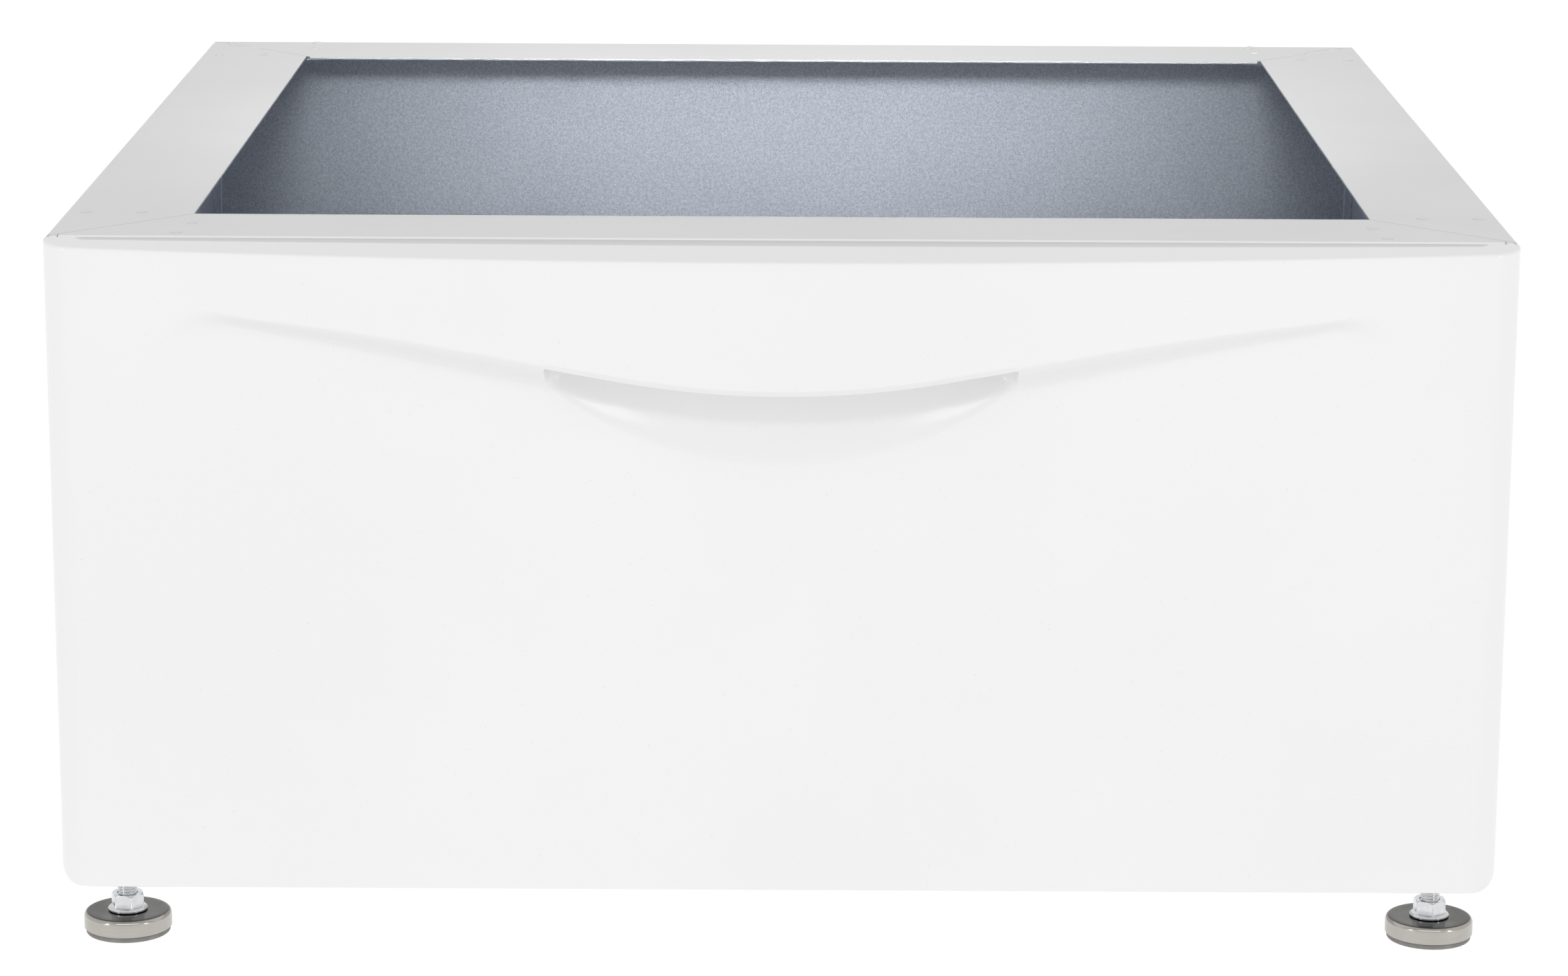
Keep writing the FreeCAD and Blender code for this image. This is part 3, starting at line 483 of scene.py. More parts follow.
def outline_columns():
    """Plan points and outward directions: left side, corner arc, bow, corner arc, right side.

    The corner arc touches the side line and the bow, so its centre is one corner radius inside both.
    """
    corner_x = HALF - CORNER
    bow_middle = CROWN + bow_radius
    corner_y = bow_middle - math.sqrt((bow_radius - CORNER) ** 2 - corner_x ** 2)
    meeting = corner_x * bow_radius / (bow_radius - CORNER)
    rest = meeting - 0.118
    half_bow = np.concatenate([
        np.linspace(0.0, 0.092, 34, endpoint=False), np.linspace(0.092, 0.104, 9, endpoint=False),
        np.linspace(0.104, 0.1105, 12, endpoint=False), np.linspace(0.1105, 0.118, 5, endpoint=False),
        0.118 + rest * np.linspace(0.0, 1.0, 56)])
    bow_x = np.concatenate([-half_bow[:0:-1], half_bow])
    bow_y = bow_middle - np.sqrt(bow_radius ** 2 - bow_x ** 2)
    bow_out = np.stack([bow_x, bow_y - bow_middle], axis=-1) / bow_radius
    end_angle = math.atan2(bow_out[-1, 1], bow_out[-1, 0])
    angles = np.linspace(end_angle, 0.0, 15)[1:]
    arc_out = np.stack([np.cos(angles), np.sin(angles)], axis=-1)
    arc = np.array([corner_x, corner_y]) + CORNER * arc_out
    side_y = np.linspace(corner_y, BACK, 6)[1:]
    side = np.stack([np.full(5, HALF), side_y], axis=-1)
    side_out = np.tile([1.0, 0.0], (5, 1))
    right = np.concatenate([arc, side])
    right_out = np.concatenate([arc_out, side_out])
    flip = np.array([-1.0, 1.0])
    plan = np.concatenate([right[::-1] * flip, np.stack([bow_x, bow_y], axis=-1), right])
    out = np.concatenate([right_out[::-1] * flip, bow_out, right_out])
    return plan, out


plan, out = outline_columns()
print("columns", len(plan))

# %% Heights of the brow and of the scoop's rim over the columns
LOWER_FACE = CROWN + 0.020
SCOOP_DEEP = 0.0098
across = np.abs(plan[:, 0])
brow_x = np.array([0.0, 0.030, 0.062, 0.091, 0.118, 0.177, 0.215, 0.255, 0.300, HALF])
brow_drop = np.array([0.0630, 0.0620, 0.0587, 0.0540, 0.0495, 0.0400, 0.0352, 0.0315, 0.0290, 0.0285])


def through(x, knots, values):
    """A smooth curve through knots: a cubic Hermite whose slopes are the central differences."""
    slopes = np.gradient(values, knots)
    slopes[0] = 0.0
    i = np.clip(np.searchsorted(knots, x) - 1, 0, len(knots) - 2)
    span = knots[i + 1] - knots[i]
    t = (x - knots[i]) / span
    a = values[i] * (2 * t ** 3 - 3 * t ** 2 + 1) + values[i + 1] * (3 * t ** 2 - 2 * t ** 3)
    b = slopes[i] * span * (t ** 3 - 2 * t ** 2 + t) + slopes[i + 1] * span * (t ** 3 - t ** 2)
    return a + b


STEP_SLOPE = 0.86
FADED_HEIGHT = 0.060
FADED_RISE = 0.010
brow = TOP - through(across, brow_x, brow_drop)
step_back = np.maximum(LOWER_FACE - plan[:, 1], 0.0)
fade = smooth(across, 0.235, 0.325)
step_height = step_back * STEP_SLOPE + FADED_HEIGHT * fade * fade
RIM_RADIUS = 0.1753
RIM_DROP = 0.104
rim = TOP - RIM_DROP + RIM_RADIUS - np.sqrt(RIM_RADIUS ** 2 - np.minimum(across, SCOOP_HALF) ** 2)
print("brow from", round(brow.min(), 4), "to", round(brow.max(), 4))

# %% Profile rows through the brow, in two versions that are blended
LIP_ROWS, UNDER_ROWS, BOWL_ROWS = 11, 8, 26
LIP_BEND = 0.0013
LIP_SLOPE = math.radians(48)
LIP_FLAT = 0.0042
UNDER_RISE = 0.0022
STEP_ROWS = LIP_ROWS + UNDER_ROWS + BOWL_ROWS


def open_step():
    """Beside the scoop: from the bow back to the flat lower face in one smoothstep over the height."""
    t = np.linspace(0.0, 1.0, STEP_ROWS)[:, None]
    y = plan[:, 1] + step_back * smooth(t, 0.0, 1.0)
    start = brow + FADED_RISE * fade
    z = start - (step_height + FADED_RISE * fade) * t
    return y, z


def scooped_step():
    """Under the middle: a sloping lip, a turn back under it, and a bowl down to the rim.

    The lip bends by a small arc, runs straight down and back, and bends again. The turn runs back
    under a flat arch. The bowl's depth behind the lower face is the full depth times
    (1 - t^2)^1.5, with t from the arch down to the rim, so it meets the face without an edge.
    """
    first = np.linspace(0.0, LIP_SLOPE, 5)
    last = np.linspace(LIP_SLOPE, math.radians(100), 5)
    run_y = np.concatenate([LIP_BEND * (1 - np.cos(first)), np.zeros(LIP_ROWS - 5)])
    run_z = np.concatenate([LIP_BEND * np.sin(first), np.zeros(LIP_ROWS - 5)])
    run_y[5] = run_y[4] + LIP_FLAT * math.sin(LIP_SLOPE)
    run_z[5] = run_z[4] + LIP_FLAT * math.cos(LIP_SLOPE)
    blunt = LIP_BEND * 0.45
    run_y[6:] = run_y[5] + blunt * (np.cos(LIP_SLOPE) - np.cos(last))
    run_z[6:] = run_z[5] + blunt * (np.sin(last) - np.sin(LIP_SLOPE))
    lip_y = plan[:, 1] + run_y[:, None]
    lip_z = brow - run_z[:, None]
    t = np.linspace(0.0, 1.0, UNDER_ROWS + 1)[1:, None]
    deep = LOWER_FACE + SCOOP_DEEP * np.sqrt(np.clip(1 - (across / SCOOP_HALF) ** 4, 0.0, 1.0))
    under_y = lip_y[-1] + (deep - lip_y[-1]) * t
    under_z = lip_z[-1] + UNDER_RISE * np.sin(t * math.pi * 0.55)
    t = np.linspace(0.0, 1.0, BOWL_ROWS + 1)[1:, None]
    bowl_y = LOWER_FACE + (deep - LOWER_FACE) * (1 - t ** 2) ** 1.5
    bowl_z = under_z[-1] + (rim - under_z[-1]) * t
    return np.concatenate([lip_y, under_y, bowl_y]), np.concatenate([lip_z, under_z, bowl_z])


open_y, open_z = open_step()
scoop_y, scoop_z = scooped_step()
share = np.sqrt(np.clip(1 - (across / SCOOP_HALF) ** 26, 0.0, 1.0))
step_y = open_y + (scoop_y - open_y) * share
step_z = open_z + (scoop_z - open_z) * share
print("step rows", len(step_y))

# %% [markdown]
# The other rows are simpler. The top and bottom edges are rounded: each row there lies further in
# along the outward direction. Seen from the front, the lower outline is a quarter circle at each
# corner, and the top face rises towards the rear. Both flanges run back to a spine line at the rear.

# %% Stack all the rows into one grid
EDGE_TOP = 0.0014
EDGE_LOW = 0.0018
SKIN_SHEET = 0.0009
LOW_CORNER = 0.0110
SPINE_END = HALF - 0.020
z_top = SKIN_HIGH[2]
z_low = SKIN_LOW[2]
TOP_FRONT = TOP - 0.0035
spine = np.clip(plan[:, 0], -SPINE_END, SPINE_END)
lower_y = plan[:, 1] + step_back


def lowest(x, y):
    """The front's lower edge: level, and a quarter circle at each lower corner."""
    over = np.clip(np.abs(x) - (HALF - LOW_CORNER), 0.0, LOW_CORNER)
    return z_low + LOW_CORNER - np.sqrt(LOW_CORNER ** 2 - over ** 2)


def highest(x, y):
    """The front's top face rises evenly from the crown to the rear."""
    return TOP_FRONT + (z_top - TOP_FRONT) * (y - CROWN) / (BACK - CROWN)


def rounded_edge(x, y, radius, limit, direction, count):
    """Quarter round: inset radius * (1 - sin a), and height from the edge radius * (1 - cos a)."""
    a = np.linspace(0.0, math.pi / 2, count)[:, None]
    inset = radius * (1 - np.sin(a))
    edge_x = x - out[:, 0] * inset
    edge_y = y - out[:, 1] * inset
    return edge_x, edge_y, limit(edge_x, edge_y) + direction * radius * (1 - np.cos(a))


def flange(edge_x, edge_y, limit, count):
    """Lines from the spine at the rear to the edge's first row, closer together near the edge."""
    t = np.sin(np.linspace(0.0, math.pi / 2, count))[:-1, None]
    x = spine + (edge_x - spine) * t
    y = BACK + (edge_y - BACK) * t
    return x, y, limit(x, y)


def wall(z_from, z_to, y, count):
    """Rows of a straight wall, without its two end rows."""
    t = np.linspace(0.0, 1.0, count)[1:-1, None]
    x = np.tile(plan[:, 0], (count - 2, 1))
    return x, np.tile(y, (count - 2, 1)), z_from + (z_to - z_from) * t


low_radius = EDGE_LOW * (1 - 0.9 * smooth(np.abs(out[:, 0]), 0.1, 1.0))
top_edge = rounded_edge(plan[:, 0], plan[:, 1], EDGE_TOP, highest, -1, 7)
low_edge = tuple(rows[::-1] for rows in rounded_edge(plan[:, 0], lower_y, low_radius, lowest, 1, 8))
low_flange = tuple(rows[::-1] for rows in flange(low_edge[0][-1], low_edge[1][-1], lowest, 14))
step = (np.tile(plan[:, 0], (STEP_ROWS, 1)), step_y, step_z)
bands = [
    flange(top_edge[0][0], top_edge[1][0], highest, 6),
    top_edge,
    wall(top_edge[2][-1], step_z[0], plan[:, 1], 12),
    step,
    wall(step_z[-1], low_edge[2][0], lower_y, 20),
    low_edge,
    low_flange,
]
front_grid = np.stack([np.concatenate([band[axis] * np.ones_like(band[0]) for band in bands])
                       for axis in range(3)], axis=-1)
print("front grid", front_grid.shape)

# %% Build the skin and give it the thickness of the sheet
front_skin = build("drawer_front_skin", [(front_grid, grid_quads(*front_grid.shape[:2])[:, ::-1])],
                   "drawer", front_enamel, ["drawer_front_panel"],
                   sharp=50.0, turn=False)
middle = np.array([0.0, BACK, (z_top + z_low) / 2])
normals = np.array([face.normal[:] for face in front_skin.data.polygons])
centres = np.array([face.center[:] for face in front_skin.data.polygons])
outward = ((centres - middle) * normals).sum(axis=1) > 0
print("faces that point outwards", round(float(outward.mean()), 3))
if outward.mean() < 0.5:
    front_skin.data.flip_normals()
thickness = front_skin.modifiers.new("sheet", "SOLIDIFY")
thickness.thickness = SKIN_SHEET
thickness.offset = -1.0

# %% [markdown]
# ## Round pieces from one profile
#
# Rivets, cups and soles are turned shapes: a profile of radius and height is swept round an axis.
# Rather than a Screw modifier on a curve, the sweep is one line of numpy, and the same kind of numpy sweep,
# written out in functions of their own, also gives a hexagon's flats and the helix of a thread.

# %% Turned surfaces
def turned(profile, centre, count=48):
    """Profile points (radius, height) swept round a vertical axis through the centre."""
    profile = np.asarray(profile, dtype=float)
    angle = np.linspace(0.0, 2 * math.pi, count, endpoint=False)
    radius = profile[:, 0][:, None]
    points = np.stack([centre[0] + radius * np.cos(angle), centre[1] + radius * np.sin(angle),
                       np.tile(profile[:, 1][:, None], (1, count))], axis=-1)
    return points, grid_quads(len(profile), count, joined=True)


def arc_profile(centre_r, centre_z, radius, start, end, count):
    """Points of an arc in the (radius, height) plane, from one angle in degrees to another."""
    a = np.radians(np.linspace(start, end, count))
    return np.stack([centre_r + radius * np.cos(a), centre_z + radius * np.sin(a)], axis=-1)


# %% [markdown]
# ## Rivets of the top frame
#
# Blind rivets hold the corner plates. A rivet's head is a low dome with a small dimple where its
# mandrel broke off, and it was painted over together with the frame.

# %% Rivet heads and tails
HEAD_RADIUS = 0.0029
HEAD_RISE = 0.0008
SHANK = 0.0016
TAIL = 0.0026
PLATE_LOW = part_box("top_gusset_front_left")[0][2]
rivet_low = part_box("top_frame_rivets")[0][2]
rivet_spots = [(0.333, -0.241), (0.3063, -0.241), (0.283, -0.294), (0.279, -0.268),
               (0.333, 0.291), (0.3063, 0.291), (0.280, 0.340), (0.280, 0.318)]


def rivet_profile():
    """From the dimple over the dome and down the shank to the bulged tail."""
    return np.array([
        (0.0, TOP + HEAD_RISE * 0.42), (0.00035, TOP + HEAD_RISE * 0.44), (0.0006, TOP + HEAD_RISE * 0.62),
        (0.0008, TOP + HEAD_RISE * 0.93), (0.0011, TOP + HEAD_RISE), (0.0015, TOP + HEAD_RISE * 0.97),
        (0.0020, TOP + HEAD_RISE * 0.80), (0.0024, TOP + HEAD_RISE * 0.55),
        (0.0027, TOP + HEAD_RISE * 0.32), (HEAD_RADIUS, TOP + HEAD_RISE * 0.08),
        (HEAD_RADIUS, TOP + 0.00002), (SHANK, TOP + 0.00001), (SHANK, PLATE_LOW - 0.00005),
        (TAIL * 0.8, PLATE_LOW - 0.0001), (TAIL, PLATE_LOW - 0.0004),
        (TAIL * 0.85, rivet_low + 0.0003), (SHANK * 0.6, rivet_low), (0.0, rivet_low)])


rivets = [turned(rivet_profile(), (side * x, y), 28) for side in (-1, 1) for x, y in rivet_spots]
build("top_frame_rivet_heads", rivets, "cabinet", cabinet_enamel,
      ["top_frame_rivets"], sharp=55.0)

# %% [markdown]
# ## Weld runs at the rear corners
#
# The rear mitres are welded from the outer corner for about a third of their length, roughly ground
# and painted over. A weld run is a row of overlapping puddles, so its height is the highest of many
# small domes placed along the mitre with a seeded random shift. Past the run, only single small tacks
# are left.

# %% Lumpy beads along the mitres
rng = np.random.default_rng(7)
MITRE_FROM = np.array([0.3345, 0.3378])
MITRE_TO = np.array([0.3095, 0.3138])
BEAD_HALF = 0.0031
BEAD_RISE = 0.00078


def bead(start, end, half_wide, rise, lumps, rows=90, columns=22):
    """A closed loop swept from start to end. Its upper half is as high as the highest dome there.

    Each dome's height at a place along the run is sqrt(1 - ((place - middle) / reach)^2).
    """
    start, end = np.asarray(start), np.asarray(end)
    place = np.linspace(0.0, 1.0, rows)
    middles = np.linspace(0.06, 0.94, lumps) + rng.uniform(-0.03, 0.03, lumps)
    reach = rng.uniform(0.55, 1.0, lumps) * 1.1 / lumps
    peak = rng.uniform(0.55, 1.0, lumps)
    lean = rng.uniform(-0.25, 0.25, lumps)
    away = (place[:, None] - middles) / reach
    domes = peak * np.sqrt(np.clip(1 - away ** 2, 0.0, 1.0))
    height = domes.max(axis=1) * 0.8 + 0.2 * peak.mean() * np.sin(math.pi * place) ** 0.3
    height[[0, -1]] = 0.0
    wide = half_wide * (0.55 + 0.45 * domes.max(axis=1)) * np.sin(math.pi * np.clip(place, 0, 1)) ** 0.25
    wide[[0, -1]] = 0.0
    shift = half_wide * np.interp(place, np.sort(middles), lean)
    angle = np.linspace(0.0, 2 * math.pi, columns, endpoint=False)
    along = (end - start) / np.linalg.norm(end - start)
    side = np.array([-along[1], along[0]])
    across_run = wide[:, None] * np.cos(angle) + shift[:, None]
    lift = np.where(np.sin(angle) > 0, np.sin(angle) * rise, np.sin(angle) * 0.0003)
    z = TOP + lift * np.where(np.sin(angle) > 0, height[:, None], 1.0) * (wide > 0)[:, None]
    line = start + (end - start) * place[:, None]
    points = np.stack([line[:, 0][:, None] + side[0] * across_run,
                       line[:, 1][:, None] + side[1] * across_run, z], axis=-1)
    return points, grid_quads(rows, columns, joined=True)


beads = []
for side in (-1, 1):
    turn = np.array([side, 1.0])
    beads.append(bead(MITRE_FROM * turn, MITRE_TO * turn, BEAD_HALF, BEAD_RISE, 9))
    for tack in range(7):
        middle_of_tack = MITRE_TO + (MITRE_TO - MITRE_FROM) * (0.16 + 0.17 * tack)
        length = (MITRE_TO - MITRE_FROM) * rng.uniform(0.02, 0.05)
        beads.append(bead((middle_of_tack - length) * turn, (middle_of_tack + length) * turn,
                          0.0007, 0.00016, 2, rows=14, columns=10))
build("rear_corner_weld_runs", beads, "cabinet", cabinet_enamel,
      ["rear_corner_welds"], sharp=60.0)

# %% [markdown]
# ## Formed front corners
#
# Where the side's top fold meets its front fold, flat sheet would leave an open notch. Here the corner
# is drawn down over it. Flattening a copy of the side panel would tear its folds, so the nose is a
# patch of its own, with one rounding along the front and one along the side: its drop below the top
# is the root of the sum of the two drops squared.

# %% Corner noses
NOSE_BACK = 0.0066
NOSE_FRONT_RADIUS = 0.0034
NOSE_SIDE_RADIUS = 0.0030
NOSE_WIDE = 0.0058


def corner_nose(side, rows=16, columns=16):
    """Front rounding along rows and side rounding along columns, mirrored by the side's sign."""
    p = np.linspace(0.0, 1.0, rows)[:, None]
    q = np.linspace(0.0, 1.0, columns)
    bend = np.radians(78) * smooth(p, 0.3, 1.0)
    lean = np.radians(88) * smooth(q, 0.35, 1.0)
    straight = NOSE_BACK - NOSE_FRONT_RADIUS
    y = FACE + NOSE_BACK - straight * np.clip(p / 0.3, 0.0, 1.0) - NOSE_FRONT_RADIUS * np.sin(bend)
    flat = NOSE_WIDE - NOSE_SIDE_RADIUS
    x = HALF - NOSE_WIDE + flat * np.clip(q / 0.35, 0.0, 1.0) + NOSE_SIDE_RADIUS * np.sin(lean)
    drop = np.hypot(NOSE_FRONT_RADIUS * (1 - np.cos(bend)), NOSE_SIDE_RADIUS * (1 - np.cos(lean)))
    taper = 1 - 0.35 * smooth(p, 0.3, 1.0) * smooth(q, 0.35, 1.0)
    x = HALF - NOSE_WIDE + (x - HALF + NOSE_WIDE) * taper
    points = np.stack([side * x, y * np.ones_like(x), TOP + 0.00002 - drop], axis=-1)
    quads = grid_quads(rows, columns)
    return points, quads if side > 0 else quads[:, ::-1]


noses = build("front_corner_noses", [corner_nose(-1), corner_nose(1)], "cabinet",
              cabinet_enamel, sharp=60.0, turn=False)
upward = np.array([face.normal.z for face in noses.data.polygons]).mean()
if upward < 0:
    noses.data.flip_normals()
nose_sheet = noses.modifiers.new("sheet", "SOLIDIFY")
nose_sheet.thickness = SKIN_SHEET
nose_sheet.offset = -1.0

# %% [markdown]
# ## Levelling feet
#
# Each foot is a swivel pad under a threaded stud. The pad is a rubber sole in a stainless cup. The
# stud has a flanged hexagon near its lower end for the spanner, and its thread runs up into a weld
# nut in the cabinet's corner. The thread is a real helix, because it would be seen in the gap above
# the hexagon: its radius depends on the height and on the angle, so each turn climbs by one pitch.

# %% Foot profiles
SOLE_RADIUS = 0.0204
CUP_RADIUS = 0.0212
CUP_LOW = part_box("foot_cup_front_left")[0][2]
SOLE_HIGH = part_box("foot_pad_front_left")[1][2]
HEX_LOW, HEX_HIGH = (corner[2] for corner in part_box("foot_hex_front_left"))
STUD_LOW, STUD_HIGH = (corner[2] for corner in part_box("foot_stud_front_left"))
THREAD = 0.0047625
PITCH = 0.0015875
THREAD_DEPTH = 0.00085
PIN_INSET = 0.0006
BUTTON = 0.0065


def sole_profile():
    """A sole with a soft lower edge, two tread grooves, and the plug that the cup grips."""
    return np.concatenate([
        [(0.0, 0.0009), (0.006, 0.0009), (0.0066, 0.0002), (0.0072, 0.0), (0.0120, 0.0),
         (0.0126, 0.0002), (0.0130, 0.0010), (0.0138, 0.0010), (0.0142, 0.0002), (0.0148, 0.0)],
        arc_profile(SOLE_RADIUS - 0.0009, 0.0009, 0.0009, -90, 0, 6),
        [(SOLE_RADIUS, CUP_LOW - 0.0003), (SOLE_RADIUS - 0.0003, CUP_LOW), (0.0192, CUP_LOW),
         (0.0192, SOLE_HIGH), (0.0, SOLE_HIGH)]])


def cup_profile():
    """Outer wall with a rolled lower lip, the rounded rim, and a slight dish up to the stud."""
    wall_top = CUP_HIGH - CUP_RIM
    return np.concatenate([
        [(CUP_RADIUS - 0.0015, CUP_LOW), (CUP_RADIUS - 0.0004, CUP_LOW)],
        arc_profile(CUP_RADIUS - 0.0004, CUP_LOW + 0.0004, 0.0004, -90, 0, 4),
        [(CUP_RADIUS, CUP_LOW + 0.0012), (CUP_RADIUS, wall_top - 0.0012)],
        arc_profile(CUP_RADIUS - CUP_RIM, wall_top, CUP_RIM, 0, 90, 12),
        [(0.0165, CUP_HIGH), (0.0140, CUP_HIGH - 0.0001), (0.0110, CUP_HIGH - 0.0001),
         (0.0075, CUP_HIGH), (0.0071, CUP_HIGH - 0.0002), (0.0069, CUP_HIGH - 0.0012),
         (0.0073, CUP_HIGH - 0.0015), (0.0180, CUP_HIGH - 0.0015),
         (CUP_RADIUS - 0.0015, wall_top - 0.0012), (CUP_RADIUS - 0.0015, CUP_LOW)]])


# %% A flanged hexagon whose corners are chamfered, and a helical thread
BORE = THREAD + 0.00015
HEX_FLAT = 0.00715
CHAMFER = 0.0012
FLANGE_RADIUS = 0.0096
FLANGE_HIGH = 0.0022


def hexagon(centre, twist, count=96):
    """Radius at an angle: the flat's distance over the cosine from the flat's middle, cut by a cone.

    The rows run from the bore out under the flange, over it, up the flats and in over the top.
    """
    angle = np.linspace(0.0, 2 * math.pi, count, endpoint=False)
    from_flat = np.mod(angle - twist + math.pi / 6, math.pi / 3) - math.pi / 6
    six = HEX_FLAT / np.cos(from_flat)
    corner = HEX_FLAT / math.cos(math.pi / 6)
    z0 = HEX_LOW
    rows = [(np.full(count, BORE), z0), (np.full(count, 0.0080), z0),
            (np.full(count, FLANGE_RADIUS - 0.0003), z0), (np.full(count, FLANGE_RADIUS), z0 + 0.0003),
            (np.full(count, FLANGE_RADIUS), z0 + 0.0009),
            (np.full(count, FLANGE_RADIUS - 0.0003), z0 + 0.0013),
            (np.maximum(six, 0.0086), z0 + FLANGE_HIGH * 0.85), (six + 0.00015, z0 + FLANGE_HIGH),
            (six, z0 + FLANGE_HIGH + 0.0003)]
    for drop in np.linspace(CHAMFER, 0.0, 5):
        rows.append((np.minimum(six, corner - (CHAMFER - drop) * 0.85), HEX_HIGH - drop))
    rows += [(np.full(count, 0.0058), HEX_HIGH), (np.full(count, THREAD + 0.0004), HEX_HIGH),
             (np.full(count, BORE), HEX_HIGH - 0.0004), (np.full(count, BORE), z0)]
    radius = np.stack([row[0] for row in rows])
    height = np.array([row[1] for row in rows])[:, None] * np.ones(count)
    x = centre[0] + radius * np.cos(angle)
    y = centre[1] + radius * np.sin(angle)
    points = np.stack([x, y, height], axis=-1)
    return points, grid_quads(len(rows), count, joined=True)


def thread(centre, count=32):
    """Radius at (height, angle): a triangle wave of height / pitch - angle / turn, with blunt crests.

    The lower end is the ball-like button that turns in the cup, and both ends fade to a plain pin.
    """
    angle = np.linspace(0.0, 2 * math.pi, count, endpoint=False)
    height = np.arange(HEX_LOW - 0.0004, STUD_HIGH - 0.0006, PITCH / 8)
    phase = np.mod(height[:, None] / PITCH - angle / (2 * math.pi), 1.0)
    tooth = np.clip(1.25 * (1 - np.abs(2 * phase - 1)), 0.0, 1.0)
    runs_out = smooth(height, STUD_HIGH - 0.0030, STUD_HIGH - 0.0008)
    there = (smooth(height, HEX_HIGH - 0.001, HEX_HIGH) * (1 - runs_out))[:, None]
    at_top = (height > (HEX_HIGH + STUD_HIGH) / 2)[:, None]
    radius = THREAD - THREAD_DEPTH * (1 - tooth) * there - PIN_INSET * (1 - there) * at_top
    neck = THREAD - 0.0004
    ends_low = [(0.0, STUD_LOW), (BUTTON - 0.0008, STUD_LOW), (BUTTON, STUD_LOW + 0.0008),
                (BUTTON, STUD_LOW + 0.0021), (BUTTON - 0.0006, STUD_LOW + 0.0029), (neck, STUD_LOW + 0.0032)]
    low = np.array([p[0] for p in ends_low])[:, None] * np.ones(count)
    low_z = np.array([p[1] for p in ends_low])[:, None] * np.ones(count)
    high = np.array([THREAD - 0.0012, 0.0])[:, None] * np.ones(count)
    high_z = np.full((2, count), STUD_HIGH)
    radius = np.concatenate([low, radius, high])
    z = np.concatenate([low_z, height[:, None] * np.ones(count), high_z])
    x = centre[0] + radius * np.cos(angle)
    y = centre[1] + radius * np.sin(angle)
    points = np.stack([x, y, z], axis=-1)
    return points, grid_quads(len(radius), count, joined=True)


# %% Build the four feet
FOOT_TWIST = {"front_left": 0.35, "front_right": 0.10, "rear_left": 0.80, "rear_right": 0.55}
for corner, twist in FOOT_TWIST.items():
    low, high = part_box("foot_cup_" + corner)
    centre = ((low[0] + high[0]) / 2, (low[1] + high[1]) / 2)
    build("sole_" + corner, [turned(sole_profile(), centre, 64)], "foot_" + corner,
          rubber, ["foot_pad_" + corner], sharp=50.0)
    build("cup_" + corner, [turned(cup_profile(), centre, 96)], "foot_" + corner,
          cup_steel, ["foot_cup_" + corner], sharp=50.0)
    build("flange_nut_" + corner, [hexagon(centre, twist)], "stud_" + corner,
          plating, ["foot_hex_" + corner], sharp=28.0)
    build("stud_thread_" + corner, [thread(centre)], "stud_" + corner,
          plating, ["foot_stud_" + corner], sharp=45.0)

# %% [markdown]
# ## Studio
#
# The pedestal stands on a white floor in soft light. The plain pale sky gives most of the light. The
# floor glows like a lit table, so it stays white under the pedestal and lights the front from below.
# Two tall narrow lamps at the sides draw bright lines on the metal feet, a wide strip in front and
# above lights the folds of the frame, and a small lamp lights the grey wall inside.

# %% Floor
FLOOR_GLOW = 0.96
FLOOR_REACH = 30.0


def floor_finish():
    finish = Finish("pale studio floor", IOR=1.4, Emission_Color=(1.0, 1.0, 1.0, 1),
                    Emission_Strength=FLOOR_GLOW)
    weave = finish.noise(40.0, 4.0)
    finish.feed(Base_Color=finish.mix(weave, (0.05, 0.05, 0.05, 1), (0.07, 0.07, 0.07, 1)),
                Roughness=0.85 + 0.1 * weave)
    return finish.material


signs = ((-1, -1), (1, -1), (1, 1), (-1, 1))
floor_corners = [(FLOOR_REACH * a, FLOOR_REACH * b, 0.0) for a, b in signs]
floor_mesh = bpy.data.meshes.new("studio_floor")
floor_mesh.from_pydata(floor_corners, [], [(0, 1, 2, 3)])
floor_mesh.materials.append(floor_finish())
floor = bpy.data.objects.new("studio_floor", floor_mesh)
bpy.context.scene.collection.objects.link(floor)

# %% Lamps and sky
def softbox(name, place, target, size_x, size_y, power, spread=180.0):
    """A rectangular area lamp at a place, facing a target. Spread is its cone in degrees."""
    data = bpy.data.lights.new(name, "AREA")
    data.shape = "RECTANGLE"
    data.size = size_x
    data.size_y = size_y
    data.energy = power
    data.spread = math.radians(spread)
    lamp = bpy.data.objects.new(name, data)
    lamp.location = place
    facing = Vector(target) - Vector(place)
    lamp.rotation_euler = facing.to_track_quat("-Z", "Y").to_euler()
    lamp.visible_camera = False
    bpy.context.scene.collection.objects.link(lamp)
    return lamp


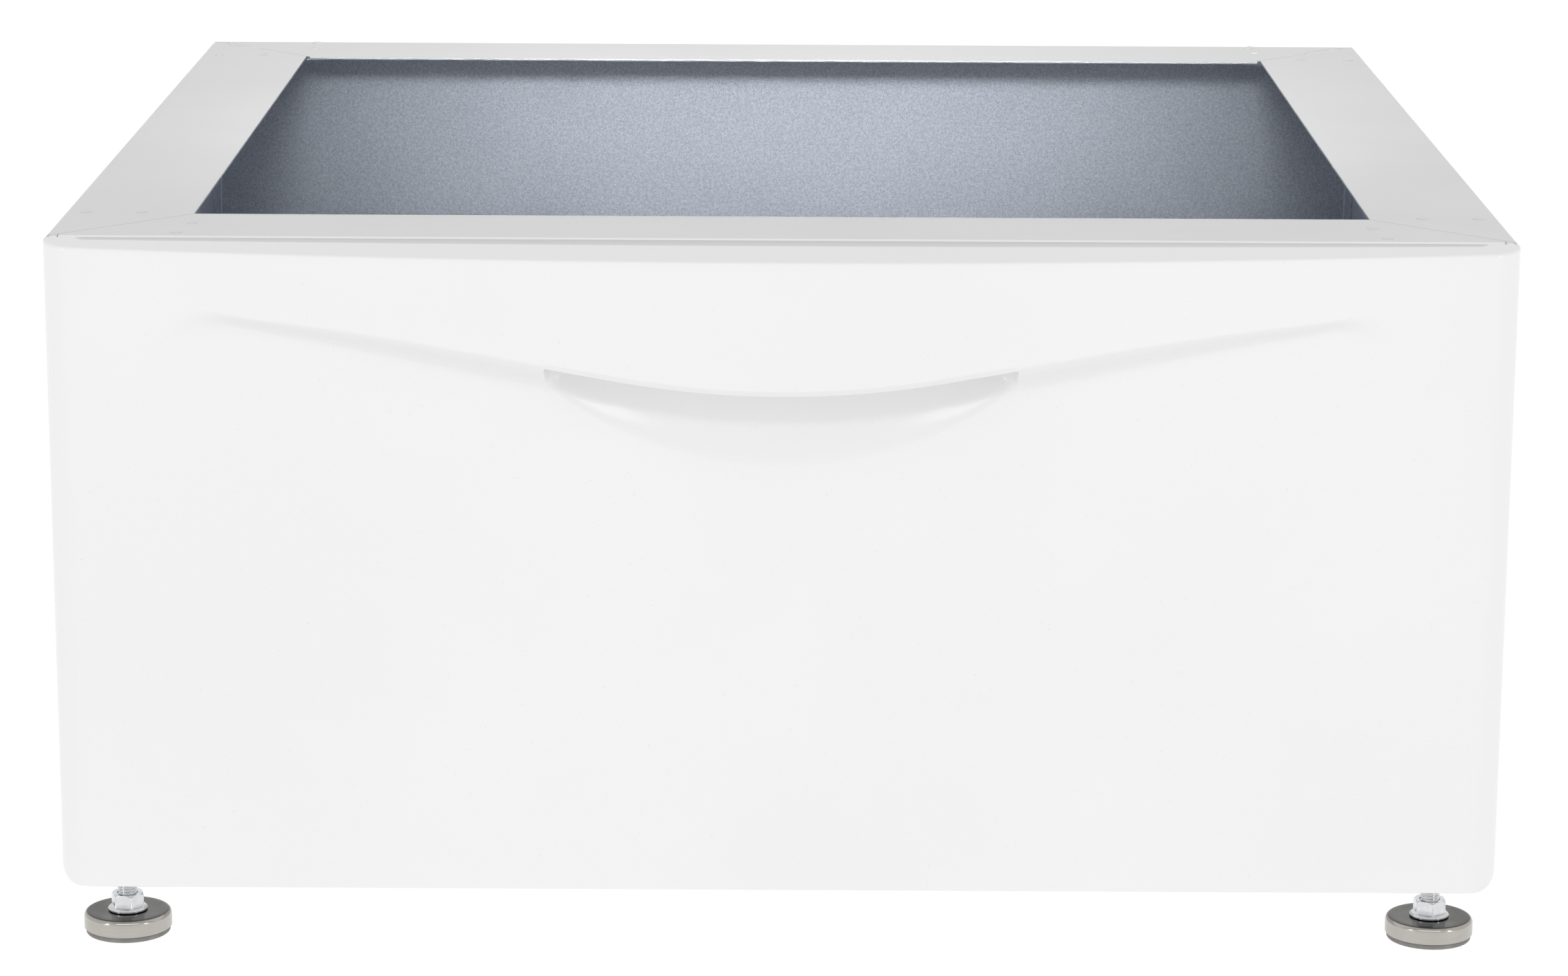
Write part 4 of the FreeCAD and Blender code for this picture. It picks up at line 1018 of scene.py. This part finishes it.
SIDE_POWER = 8.0
STRIP_POWER = 9.0
INSIDE_POWER = 0.35
SKY = 0.80
softbox("left lamp", (-3.1, -2.6, 1.1), (0.0, -0.3, 0.1), 0.3, 2.0, SIDE_POWER)
softbox("right lamp", (3.1, -2.6, 1.1), (0.0, -0.3, 0.1), 0.3, 2.0, SIDE_POWER)
softbox("strip lamp", (0.0, -2.7, 2.15), (0.0, -0.3, 0.35), 3.2, 0.35, STRIP_POWER)
softbox("inside lamp", (0.0, -0.55, 0.62), (0.0, 0.345, 0.255), 0.5, 0.1, INSIDE_POWER, 29.0)
sky = bpy.data.worlds.new("studio sky")
sky.use_nodes = True
sky.node_tree.nodes["Background"].inputs["Color"].default_value = (1.0, 1.0, 1.0, 1)
sky.node_tree.nodes["Background"].inputs["Strength"].default_value = SKY
bpy.context.scene.world = sky

# %% [markdown]
# ## Camera
#
# The camera stands about 2.1 m in front of the drawer, 0.74 m above the floor, and looks down by
# 13 degrees through a long lens, so the sides hardly converge. It also leans by 0.3 degrees.

# %% Place the camera
CAMERA_PLACE = (0.00163, -2.42968, 0.73886)
LENS = 106.508
PITCH_DOWN = 0.23455
LEAN = 0.00513
ahead = Vector((0.0, math.cos(PITCH_DOWN), -math.sin(PITCH_DOWN)))
upright = Vector((0.0, math.sin(PITCH_DOWN), math.cos(PITCH_DOWN)))
level = Vector((1.0, 0.0, 0.0))
right = level * math.cos(LEAN) + upright * math.sin(LEAN)
up = upright * math.cos(LEAN) - level * math.sin(LEAN)
lens = bpy.data.cameras.new("studio camera")
lens.sensor_width = 36.0
lens.lens = LENS
lens.clip_end = 100.0
camera = bpy.data.objects.new("studio camera", lens)
turned_to = Matrix((right, up, -ahead)).transposed().to_4x4()
camera.matrix_world = Matrix.Translation(CAMERA_PLACE) @ turned_to
bpy.context.scene.collection.objects.link(camera)
bpy.context.scene.camera = camera
bpy.context.scene.view_settings.view_transform = "Standard"
print("camera at", tuple(round(v, 3) for v in camera.matrix_world.translation))
